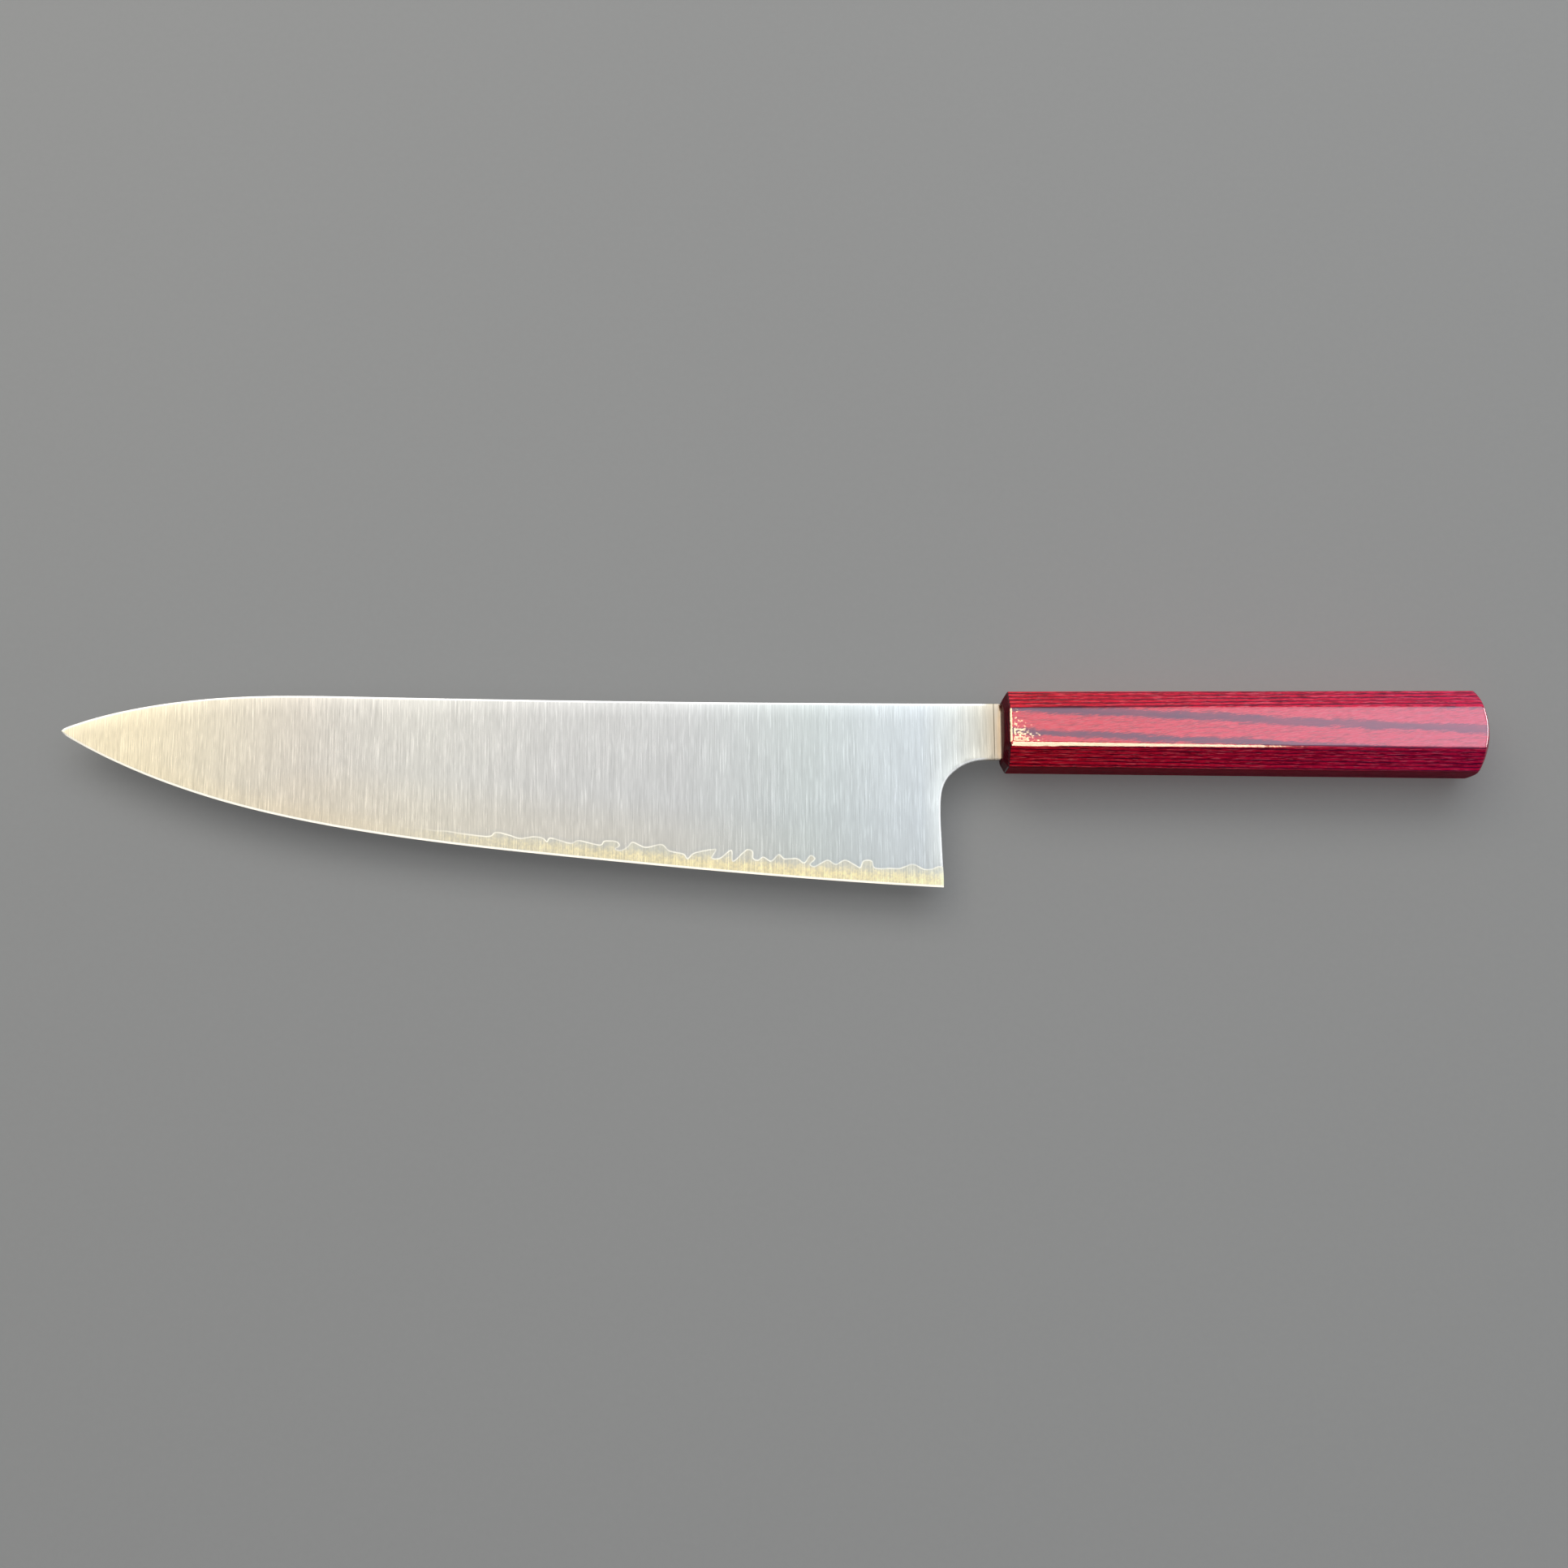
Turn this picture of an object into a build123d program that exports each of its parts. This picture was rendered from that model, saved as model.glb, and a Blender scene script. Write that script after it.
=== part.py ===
from build123d import *
import math
import os

# Chef knife of the Japanese gyuto pattern: a three-layer (hard core between two
# softer claddings) blade with a hidden tang, bonded into an octagonal handle
# that is machined from a block of dyed veneers.
#
# Frame, in millimetres
#   origin  centre of the handle's front end, on the blade's middle plane
#   +X      from the tip towards the butt of the handle
#   +Y      from the cutting edge towards the spine
#   +Z      out of the blade's left side (up when the knife lies on its right side)

# ---------------------------------------------------------------- blade dimensions
EDGE_HALF = 0.12          # half thickness the flanks would have if run on down to the apex
BEVEL_H = 0.55            # height of the sharpened bevel above the apex
CORE_HALF = 0.105         # half thickness of the core layer at the edge
CORE_GROWTH = 0.0040      # growth of that half thickness per mm towards the spine
CORE_OVERRUN = 1.0        # how far the core wedge runs past the blade wedge, below and above
WEDGE_TOP_Y = 13.0        # top of the blade wedge, clear of the spine
TRIM_Y = -60.0            # bottom of the plan outline, clear of the edge
TRIM_HALF = 6.0           # half thickness of the trimming prisms, clear of the flanks

# Wedge taper along the blade: x, half thickness gained per mm above the edge
TAPER = [(-262.0, 0.0225), (-240.0, 0.0222), (-200.0, 0.0212), (-140.0, 0.0200),
         (-80.0, 0.0190), (-16.0, 0.0183), (100.0, 0.0183)]

# Spine curve from the tip to the handle: x, y
SPINE = [(-256.1, -0.66), (-255.6, -0.08), (-254.5, 0.47), (-252.0, 1.39), (-248.0, 2.70),
         (-244.0, 3.83), (-240.0, 4.81), (-234.0, 6.06), (-228.0, 7.08), (-220.0, 8.10),
         (-212.0, 8.79), (-204.0, 9.20), (-196.0, 9.37), (-188.0, 9.37), (-176.0, 9.20),
         (-160.0, 8.94), (-140.0, 8.65), (-120.0, 8.42), (-100.0, 8.23), (-80.0, 8.09),
         (-60.0, 8.00), (-40.0, 7.96), (-20.0, 7.95), (0.0, 7.95)]

# Cutting edge: x, y of the apex (the first points run on past the tip, the last past the heel)
EDGE = [(-262.0, 4.90), (-259.0, 1.95), (-257.0, 0.02), (-256.1, -0.84), (-255.0, -1.83),
        (-254.0, -2.46), (-252.0, -3.59), (-250.0, -4.68), (-248.0, -5.73), (-244.0, -7.70),
        (-240.0, -9.54), (-234.0, -12.10), (-228.0, -14.43), (-220.0, -17.20),
        (-212.0, -19.65), (-204.0, -21.79), (-196.0, -23.67), (-188.0, -25.33),
        (-176.0, -27.48), (-160.0, -29.87), (-140.0, -32.31), (-120.0, -34.36),
        (-100.0, -36.26), (-80.0, -38.06), (-60.0, -39.70), (-40.0, -41.14),
        (-28.0, -41.88), (-16.0, -42.50), (-10.0, -42.76)]

# Back of the heel and the throat sweeping up to the neck: x, y from just below the heel corner
CHOIL = [(-15.95, -44.0), (-15.95, -39.6), (-16.15, -36.0), (-16.35, -30.8), (-16.55, -25.4),
         (-16.58, -21.9), (-16.45, -18.4), (-15.95, -15.6), (-14.75, -13.0), (-12.95, -11.0),
         (-10.60, -9.30), (-8.00, -8.20), (-5.40, -7.72), (-2.60, -7.60), (0.0, -7.60)]

# Boundary between cladding and exposed core: x, height above the apex.
# It wanders because the layers were forged together before grinding.
WAVE_LEFT = [(-259.0, 2.3), (-250.0, 2.5), (-236.0, 2.7), (-220.0, 2.8), (-204.0, 3.0),
             (-188.0, 2.9), (-172.0, 3.1), (-158.0, 3.0), (-149.0, 3.2), (-144.6, 3.1),
             (-138.2, 3.5), (-136.8, 4.4), (-133.2, 4.1), (-130.4, 3.6), (-126.2, 4.5),
             (-124.0, 4.3), (-122.9, 3.5), (-121.9, 4.4), (-116.3, 3.7), (-114.5, 4.5),
             (-108.4, 4.1), (-107.3, 5.1), (-105.8, 5.4), (-104.4, 4.4), (-104.0, 3.4),
             (-102.6, 3.1), (-101.0, 4.4), (-99.7, 5.5), (-96.4, 4.6), (-91.8, 5.7),
             (-90.0, 4.4), (-86.2, 3.7), (-84.9, 2.7), (-83.2, 4.0), (-79.8, 5.6),
             (-78.3, 5.5), (-77.7, 3.5), (-76.4, 3.4), (-73.3, 5.8), (-72.6, 3.2),
             (-69.2, 6.3), (-67.7, 6.1), (-67.0, 4.2), (-65.9, 3.8), (-64.6, 4.8),
             (-62.4, 3.9), (-60.2, 5.8), (-58.9, 4.9), (-55.4, 5.1), (-53.4, 4.2),
             (-51.9, 6.2), (-51.2, 5.4), (-50.9, 3.6), (-50.0, 3.3), (-49.0, 4.3),
             (-47.1, 5.3), (-44.9, 4.4), (-42.5, 5.6), (-40.1, 4.7), (-38.6, 4.0),
             (-37.4, 5.8), (-35.4, 5.9), (-34.5, 4.3), (-30.3, 4.3), (-27.7, 4.5),
             (-24.2, 5.7), (-21.4, 4.6), (-19.2, 4.7), (-16.8, 5.5), (-10.0, 5.2)]
WAVE_RIGHT = [(-259.0, 2.3), (-248.0, 2.6), (-232.0, 2.6), (-216.0, 2.9), (-200.0, 2.8),
              (-184.0, 3.1), (-170.0, 3.0), (-160.0, 3.3), (-152.0, 3.9), (-147.0, 3.4),
              (-143.5, 4.3), (-141.8, 3.6), (-137.0, 4.2), (-132.5, 4.9), (-130.9, 3.9),
              (-127.0, 3.6), (-123.5, 4.8), (-120.0, 5.3), (-118.6, 4.1), (-115.4, 3.5),
              (-112.0, 4.6), (-108.8, 5.4), (-107.4, 3.9), (-104.4, 3.6), (-101.2, 5.0),
              (-97.6, 5.9), (-96.2, 4.4), (-93.4, 3.3), (-91.0, 4.7), (-87.2, 5.4),
              (-84.4, 4.3), (-81.6, 5.7), (-80.2, 5.9), (-79.0, 3.9), (-75.4, 3.5),
              (-72.2, 5.1), (-69.0, 6.0), (-67.6, 4.5), (-64.2, 4.0), (-60.4, 5.2),
              (-57.2, 5.7), (-55.6, 3.9), (-52.0, 3.6), (-48.4, 4.9), (-45.0, 5.8),
              (-43.2, 4.2), (-39.4, 4.5), (-35.6, 5.6), (-33.2, 4.1), (-29.4, 4.4),
              (-25.6, 5.3), (-22.8, 4.4), (-19.0, 5.0), (-10.0, 5.1)]

# ---------------------------------------------------------------- tang and pocket dimensions
TANG_L = 95.0             # tang length inside the handle
TANG_NECK_H = 10.4        # tang height at the neck
TANG_END_H = 6.4          # tang height at its rounded end
TANG_Y = 0.2              # height of the tang's centre line
POCKET_GAP = 1.0          # room above and below the tang
POCKET_L = TANG_L + 3.0
POCKET_T = 3.2            # pocket thickness

# The blade wedge runs on under the tang: x, y of its apex
WEDGE_UNDER_TANG = [(20.0, -42.9), (60.0, -43.0), (TANG_L + 2.0, -43.0)]

# ---------------------------------------------------------------- handle dimensions
# Octagon, deeper (Y) than thick (Z), swelling a little towards the butt
HANDLE_L = 131.9
HALF_T = 10.0             # half thickness, constant
FRONT_HALF_H = 10.47      # half height at the front end
FRONT_HALF_FLAT = 4.95    # half width of the broad flats at the front end
SWELL = 0.84              # what both gain towards the butt, so every facet stays a plane
SIDE_HALF = 4.9           # half width of the narrow top and bottom facets
FACET_R = 1.15            # rounding along the facet edges
BLOCK_L = HANDLE_L + 4.0  # block length before the butt is domed
FRONT_IN = 2.3            # bevel round the front end: inward
FRONT_BACK = 1.45         # and backward
BUTT_R = 21.0             # radius of the domed butt
BUTT_EDGE_C = 0.5         # small chamfer where the facets meet the dome
FRONT_OVERRUN = 1.0       # how far the cutting tools start in front of the handle

# The veneers are not quite parallel to the broad flats: the block was sawn slightly askew,
# so their glue lines cross the flats at a shallow angle and show there as long bands.
PLY_T = 0.9               # one veneer
PLY_ROLL = 8.0            # degrees the veneers' normal leans from +Z towards +Y
PLY_PITCH = 0.34          # degrees it leans towards +X
PLY_PHASE = 0.668         # distance from the origin to the first joint on the +Z side
PLIES_BELOW = 13          # veneers below that joint
PLY_COUNT = 25            # veneers in the shaped handle, the outermost two only slivers


# ---------------------------------------------------------------- helpers
def along(table, x):
    """Linear interpolation in a table of (x, value), held constant past its ends."""
    if x <= table[0][0]:
        return table[0][1]
    for (x0, value0), (x1, value1) in zip(table, table[1:]):
        if x <= x1:
            return value0 + (value1 - value0) * (x - x0) / (x1 - x0)
    return table[-1][1]


def polygon_face(points):
    return Face(Wire.make_polygon(points, close=True))


def section(x, corners):
    """Planar face across the knife at x from (y, z) corners."""
    return polygon_face([Vector(x, y, z) for y, z in corners])


def plan_prism(edges, z0, z1):
    """Solid between two heights over a closed outline in the XY plane."""
    prism = extrude(Face(Wire(edges)), amount=z1 - z0, dir=(0, 0, 1))
    return Pos(0, 0, z0) * prism


def plan_polygon(points):
    """Edges of a closed polygon in the XY plane."""
    return Wire.make_polygon([Vector(x, y, 0) for x, y in points], close=True).edges()


def largest(shape):
    """The single largest solid of a boolean result."""
    return max(shape.solids(), key=lambda solid: solid.volume)


# ---------------------------------------------------------------- blade
def make_wedges():
    """Untrimmed wedge of the whole blade, and the wedge of its core layer."""
    outer_sections, core_sections = [], []
    for x, apex in EDGE + WEDGE_UNDER_TANG:
        taper = along(TAPER, x)
        shoulder = apex + BEVEL_H
        shoulder_half = EDGE_HALF + taper * BEVEL_H
        top_half = EDGE_HALF + taper * (WEDGE_TOP_Y - apex)
        outer_sections.append(section(x, [
            (apex, 0.0), (shoulder, shoulder_half), (WEDGE_TOP_Y, top_half),
            (WEDGE_TOP_Y, -top_half), (shoulder, -shoulder_half)]))

        bottom = apex - CORE_OVERRUN
        top = WEDGE_TOP_Y + CORE_OVERRUN
        core_bottom = CORE_HALF - CORE_GROWTH * CORE_OVERRUN
        core_top = CORE_HALF + CORE_GROWTH * (top - apex)
        core_sections.append(section(x, [
            (bottom, -core_bottom), (bottom, core_bottom), (top, core_top), (top, -core_top)]))
    return loft(outer_sections, ruled=True), loft(core_sections, ruled=True)


def blade_outline():
    """Spine, tang, neck and throat; the cutting edge is the wedge's own apex."""
    tip_x = SPINE[0][0]
    heel_x = CHOIL[0][0]
    neck_top = TANG_Y + TANG_NECK_H / 2
    neck_bottom = TANG_Y - TANG_NECK_H / 2
    end_radius = TANG_END_H / 2
    arc_x = TANG_L - end_radius
    arc_top = (arc_x, TANG_Y + end_radius)
    arc_bottom = (arc_x, TANG_Y - end_radius)
    curves = [
        Line((tip_x, TRIM_Y), SPINE[0]),
        Spline(*SPINE),
        Line(SPINE[-1], (0.0, neck_top)),
        Line((0.0, neck_top), arc_top),
        ThreePointArc(arc_top, (TANG_L, TANG_Y), arc_bottom),
        Line(arc_bottom, (0.0, neck_bottom)),
        Line((0.0, neck_bottom), CHOIL[-1]),
        Spline(*CHOIL[::-1]),
        Line(CHOIL[0], (heel_x, TRIM_Y)),
        Line((heel_x, TRIM_Y), (tip_x, TRIM_Y)),
    ]
    return [edge for curve in curves for edge in curve.edges()]


def cladding_zone(wave):
    """Prism on the +Z side over everything on the spine side of a cladding boundary."""
    boundary = [(x, along(EDGE, x) + height) for x, height in wave]
    surround = [(-10.0, -37.0), (120.0, -37.0), (120.0, 30.0)]
    return plan_prism(plan_polygon([(-259.0, 30.0)] + boundary + surround), 0.0, TRIM_HALF)


wedge, core_wedge = make_wedges()
blank = largest(wedge & plan_prism(blade_outline(), -TRIM_HALF, TRIM_HALF))
left_zone = cladding_zone(WAVE_LEFT)
right_zone = mirror(cladding_zone(WAVE_RIGHT), about=Plane.XY)
cladding_left = largest((blank & left_zone) - core_wedge)
cladding_right = largest((blank & right_zone) - core_wedge)
blade_core = largest(blank - cladding_left - cladding_right)


# ---------------------------------------------------------------- handle block
def octagon(half_h, half_flat, half_t, half_side):
    """(y, z) corners of the handle's octagon."""
    return [(half_flat, half_t), (half_h, half_side), (half_h, -half_side),
            (half_flat, -half_t), (-half_flat, -half_t), (-half_h, -half_side),
            (-half_h, half_side), (-half_flat, half_t)]


def handle_corners(x):
    """Corners of the swelling handle at x."""
    gain = SWELL * x / HANDLE_L
    corners = octagon(FRONT_HALF_H + gain, FRONT_HALF_FLAT + gain, HALF_T, SIDE_HALF)
    return [Vector(x, y, z) for y, z in corners]


def inset_section(x, inset):
    """The front octagon with every facet moved inwards by inset, placed at x."""
    run = FRONT_HALF_H - FRONT_HALF_FLAT
    drop = HALF_T - SIDE_HALF
    slant = math.hypot(run, drop)
    normal_y, normal_z = drop / slant, run / slant      # outward normal of the corner facet
    corner_dist = normal_y * FRONT_HALF_FLAT + normal_z * HALF_T - inset
    half_t = HALF_T - inset
    half_h = FRONT_HALF_H - inset
    half_flat = (corner_dist - normal_z * half_t) / normal_y
    half_side = (corner_dist - normal_y * half_h) / normal_z
    return section(x, octagon(half_h, half_flat, half_t, half_side))


def make_front_cutter():
    """Collar whose sloping inside bevels the front end."""
    slope_end = 2.0 * FRONT_BACK
    slope = loft([inset_section(0.0, FRONT_IN), inset_section(slope_end, -FRONT_IN)],
                 ruled=True)
    collar_centre = (slope_end - FRONT_OVERRUN) / 2
    collar = Pos(collar_centre, 0, 0) * Box(slope_end + FRONT_OVERRUN, 40.0, 40.0)
    return collar - slope


def make_dome():
    """Cylinder along X with a spherical nose that ends at the butt."""
    start = (-FRONT_OVERRUN, 0.0)
    start_rim = (-FRONT_OVERRUN, BUTT_R)
    centre_x = HANDLE_L - BUTT_R
    nose_rim = (centre_x, BUTT_R)
    nose_middle = (centre_x + BUTT_R * math.sin(math.pi / 4), BUTT_R * math.cos(math.pi / 4))
    nose = (HANDLE_L, 0.0)
    profile = Face(Wire([Line(start, start_rim).edge(),
                         Line(start_rim, nose_rim).edge(),
                         ThreePointArc(nose_rim, nose_middle, nose).edge(),
                         Line(nose, start).edge()]))
    return revolve(profile, axis=Axis.X, revolution_arc=360)


def make_block():
    """Shaped handle, before the pocket is cut."""
    front, back = handle_corners(0.0), handle_corners(BLOCK_L)
    facets = []
    for i in range(8):
        j = (i + 1) % 8
        facets.append(polygon_face([front[i], front[j], back[j], back[i]]))
    block = Solid(Shell([polygon_face(front), polygon_face(back)] + facets))
    block = fillet([e for e in block.edges() if e.length > HANDLE_L * 0.9], FACET_R)
    block = largest(block - make_front_cutter())
    block = largest(block & make_dome())
    butt_edges = [e for e in block.edges()
                  if e.center().X > HANDLE_L - 8.0 and e.length < 25.0]
    return chamfer(butt_edges, BUTT_EDGE_C)


# ---------------------------------------------------------------- tang pocket
def make_pocket():
    """Tapered slot that takes the tang."""
    mouth_half = TANG_NECK_H / 2 + POCKET_GAP
    bottom_half = TANG_END_H / 2 + POCKET_GAP
    plan = plan_polygon([(0, TANG_Y - mouth_half), (0, TANG_Y + mouth_half),
                         (POCKET_L, TANG_Y + bottom_half), (POCKET_L, TANG_Y - bottom_half)])
    return plan_prism(plan, -POCKET_T / 2, POCKET_T / 2)


block = make_block()
pocket = make_pocket()
tang_adhesive = largest(pocket - blank)     # fills the pocket round the tang
block = largest(block - pocket)


# ---------------------------------------------------------------- veneers
def make_plies():
    """The handle cut into its veneers, numbered from the -Z side."""
    normal = Vector(math.tan(math.radians(PLY_PITCH)),
                    math.tan(math.radians(PLY_ROLL)), 1.0).normalized()
    lowest = PLY_PHASE - PLY_T * PLIES_BELOW
    plies = {}
    for k in range(PLY_COUNT):
        middle = lowest + PLY_T * k + PLY_T / 2
        plane = Plane(origin=normal * middle, z_dir=normal, x_dir=(1, 0, 0))
        slab = plane * Box(600.0, 80.0, PLY_T)
        plies["handle_ply_%02d" % (k + 1)] = largest(block & slab)
    return plies


# ---------------------------------------------------------------- export
parts = {"blade_core": blade_core, "cladding_left": cladding_left,
         "cladding_right": cladding_right, "tang_adhesive": tang_adhesive}
parts.update(make_plies())
os.makedirs("parts", exist_ok=True)
for name, solid in parts.items():
    solid.label = name
    export_step(solid, "parts/%s.step" % name)
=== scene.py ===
# A knife lying flat: a hard core between two cladding plates, with an octagonal handle of
# glued veneers. X runs from the tip (-X) to the butt (+X), with x = 0 at the handle's front.
# The edge is toward -Y and the spine toward +Y. +Z is up, and is the blade's left side.
import math

import bmesh
import bpy
import numpy as np
from mathutils import Matrix, Vector
from mathutils.geometry import delaunay_2d_cdt


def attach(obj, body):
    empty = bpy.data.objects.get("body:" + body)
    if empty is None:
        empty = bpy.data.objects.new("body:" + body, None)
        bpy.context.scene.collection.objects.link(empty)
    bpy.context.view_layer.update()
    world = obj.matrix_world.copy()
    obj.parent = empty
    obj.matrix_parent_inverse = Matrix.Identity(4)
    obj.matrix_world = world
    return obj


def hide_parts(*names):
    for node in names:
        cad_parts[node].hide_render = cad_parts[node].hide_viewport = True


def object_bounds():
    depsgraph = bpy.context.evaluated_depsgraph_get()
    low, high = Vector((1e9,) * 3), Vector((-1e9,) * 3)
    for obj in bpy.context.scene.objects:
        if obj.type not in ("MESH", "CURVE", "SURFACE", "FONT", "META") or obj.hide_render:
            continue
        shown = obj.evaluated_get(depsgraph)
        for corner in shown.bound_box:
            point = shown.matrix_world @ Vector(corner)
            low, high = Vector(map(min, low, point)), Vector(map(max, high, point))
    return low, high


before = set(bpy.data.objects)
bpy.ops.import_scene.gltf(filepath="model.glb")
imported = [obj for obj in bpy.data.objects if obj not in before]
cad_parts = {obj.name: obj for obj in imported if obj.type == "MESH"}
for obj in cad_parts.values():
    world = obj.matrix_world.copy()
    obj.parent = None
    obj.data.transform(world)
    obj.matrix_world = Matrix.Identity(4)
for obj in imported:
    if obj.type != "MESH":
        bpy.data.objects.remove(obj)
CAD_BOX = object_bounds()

# ---------------------------------------------------------------------------
# Design tables, in millimetres
# ---------------------------------------------------------------------------
MM = 0.001                                # metres in one millimetre
TIP_X, HEEL_X = -256.1, -15.95
EDGE_HALF, BEVEL_H = 0.12, 0.55           # half thickness at the edge, height of its bevel
CORE_HALF, CORE_GROWTH = 0.105, 0.0040    # core's half thickness at the edge, gain per mm up
NECK_TOP_R, NECK_LOW_R = 0.70, 0.45       # eased corners where the neck meets the handle
RIM_R, RIM_R_CHOIL = 0.26, 0.20           # rounding of the cladding's rim
THROAT_Y = -20.0                          # the choil rises steadily below this height
TANG_L, TANG_H0, TANG_H1, TANG_Y = 95.0, 10.4, 6.4, 0.2        # length, end heights, centre y
POCKET_L, POCKET_H0, POCKET_H1, POCKET_T = 98.0, 12.4, 8.4, 3.2
POCKET_PLIES = (-2.6, 3.1)                # plies reaching between these levels get the pocket
HANDLE_L, BUTT_R = 131.9, 21.0            # length, radius of the domed butt
HALF_T, HALF_H0 = 10.0, 10.47             # half thickness in Z, half height in Y at x = 0
FLAT0, SIDE_HALF = 4.95, 4.9              # half widths of the Z flats and the Y sides at x = 0
SWELL = 0.84                              # gain of the half height over the handle's length
FRONT_IN, FRONT_BACK = 2.3, 1.45          # front chamfer: inset at the face, length along X
PLY_T, PLY_PHASE, N_PLY = 0.9, 0.668, 25  # thickness, level of one joint, number of plies
PLIES_UNDER_PHASE = 13
_n = np.array([math.tan(math.radians(0.34)), math.tan(math.radians(8.0)), 1.0])
PLY_N = _n / np.linalg.norm(_n)           # the joints' common normal

# x, gain in half thickness per mm above the edge
TAPER = [(-262.0, 0.0225), (-240.0, 0.0222), (-200.0, 0.0212), (-140.0, 0.0200),
         (-80.0, 0.0190), (-16.0, 0.0183), (100.0, 0.0183)]
# x, y
SPINE = [(-256.1, -0.66), (-255.6, -0.08), (-254.5, 0.47), (-252.0, 1.39), (-248.0, 2.70),
         (-244.0, 3.83), (-240.0, 4.81), (-234.0, 6.06), (-228.0, 7.08), (-220.0, 8.10),
         (-212.0, 8.79), (-204.0, 9.20), (-196.0, 9.37), (-188.0, 9.37), (-176.0, 9.20),
         (-160.0, 8.94), (-140.0, 8.65), (-120.0, 8.42), (-100.0, 8.23), (-80.0, 8.09),
         (-60.0, 8.00), (-40.0, 7.96), (-20.0, 7.95), (0.0, 7.95)]
# x, y, carried on past both ends of the blade
EDGE = [(-262.0, 4.90), (-259.0, 1.95), (-257.0, 0.02), (-256.1, -0.84), (-255.0, -1.83),
        (-254.0, -2.46), (-252.0, -3.59), (-250.0, -4.68), (-248.0, -5.73), (-244.0, -7.70),
        (-240.0, -9.54), (-234.0, -12.10), (-228.0, -14.43), (-220.0, -17.20),
        (-212.0, -19.65), (-204.0, -21.79), (-196.0, -23.67), (-188.0, -25.33),
        (-176.0, -27.48), (-160.0, -29.87), (-140.0, -32.31), (-120.0, -34.36),
        (-100.0, -36.26), (-80.0, -38.06), (-60.0, -39.70), (-40.0, -41.14),
        (-28.0, -41.88), (-16.0, -42.50), (-10.0, -42.76), (20.0, -42.9), (60.0, -43.0),
        (97.0, -43.0)]
# x, y from the heel up to the handle
CHOIL = [(-15.95, -42.5), (-15.95, -39.6), (-16.15, -36.0), (-16.35, -30.8), (-16.55, -25.4),
         (-16.58, -21.9), (-16.45, -18.4), (-15.95, -15.6), (-14.75, -13.0), (-12.95, -11.0),
         (-10.60, -9.30), (-8.00, -8.20), (-5.40, -7.72), (-2.60, -7.60), (0.0, -7.60)]
# Left cladding boundary near the tip, where it is calm: x, height above the edge
CALM_LEFT = [(-259.0, 2.3), (-250.0, 2.5), (-236.0, 2.7), (-220.0, 2.8), (-204.0, 3.0),
             (-188.0, 2.9), (-172.0, 3.1), (-158.0, 3.0), (-149.0, 3.2)]
# The rest of it, where it meanders: x, y
MEANDER_LEFT = [
    (-144.62, -28.69), (-138.04, -29.1), (-136.97, -28.21), (-133.22, -28.86), (-130.35, -29.73),
    (-126.2, -29.27), (-124.0, -29.7), (-122.88, -30.58), (-122.25, -29.69), (-116.3, -31.0),
    (-114.57, -30.32), (-108.19, -31.4), (-107.56, -30.51), (-106.25, -30.29), (-103.83, -30.72),
    (-103.37, -31.6), (-104.45, -32.49), (-102.91, -32.92), (-100.96, -31.81), (-99.89, -30.7),
    (-96.36, -32.01), (-91.78, -31.33), (-90.0, -32.87), (-85.83, -33.95), (-84.94, -35.05),
    (-83.43, -33.72), (-78.63, -32.59), (-77.32, -32.59), (-78.39, -34.8), (-76.42, -35.01),
    (-73.16, -32.79), (-72.69, -35.66), (-68.79, -32.55), (-67.47, -32.99), (-67.24, -34.97),
    (-65.92, -35.41), (-64.62, -34.52), (-62.42, -35.61), (-60.25, -33.84), (-58.93, -34.93),
    (-55.43, -34.92), (-53.46, -36.01), (-51.72, -34.02), (-50.62, -34.9), (-51.93, -36.45),
    (-50.84, -37.1), (-49.09, -36.21), (-47.13, -35.32), (-44.94, -36.41), (-42.54, -35.3),
    (-40.13, -36.39), (-38.39, -37.27), (-37.51, -35.5), (-35.32, -35.49), (-34.68, -37.25),
    (-30.31, -37.45), (-27.69, -37.44), (-24.18, -36.32), (-21.36, -37.63), (-19.17, -37.62),
    (-17.4, -36.95)]
# Right cladding boundary: x, height above the edge
WAVE_RIGHT = [(-256.6, 2.4), (-248.0, 2.6), (-232.0, 2.6), (-216.0, 2.9), (-200.0, 2.8),
              (-184.0, 3.1), (-170.0, 3.0), (-160.0, 3.3), (-152.0, 3.9), (-147.0, 3.4),
              (-143.5, 4.3), (-141.8, 3.6), (-137.0, 4.2), (-132.5, 4.9), (-130.9, 3.9),
              (-127.0, 3.6), (-123.5, 4.8), (-120.0, 5.3), (-118.6, 4.1), (-115.4, 3.5),
              (-112.0, 4.6), (-108.8, 5.4), (-107.4, 3.9), (-104.4, 3.6), (-101.2, 5.0),
              (-97.6, 5.9), (-96.2, 4.4), (-93.4, 3.3), (-91.0, 4.7), (-87.2, 5.4),
              (-84.4, 4.3), (-81.6, 5.7), (-80.2, 5.9), (-79.0, 3.9), (-75.4, 3.5),
              (-72.2, 5.1), (-69.0, 6.0), (-67.6, 4.5), (-64.2, 4.0), (-60.4, 5.2),
              (-57.2, 5.7), (-55.6, 3.9), (-52.0, 3.6), (-48.4, 4.9), (-45.0, 5.8),
              (-43.2, 4.2), (-39.4, 4.5), (-35.6, 5.6), (-33.2, 4.1), (-29.4, 4.4),
              (-25.6, 5.3), (-22.8, 4.4), (-19.0, 5.0), (-17.4, 5.05)]

# Spacing of mesh points
BOUNDARY_STEP, CHOIL_STEP, TANG_STEP = 0.3, 0.45, 3.0
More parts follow.
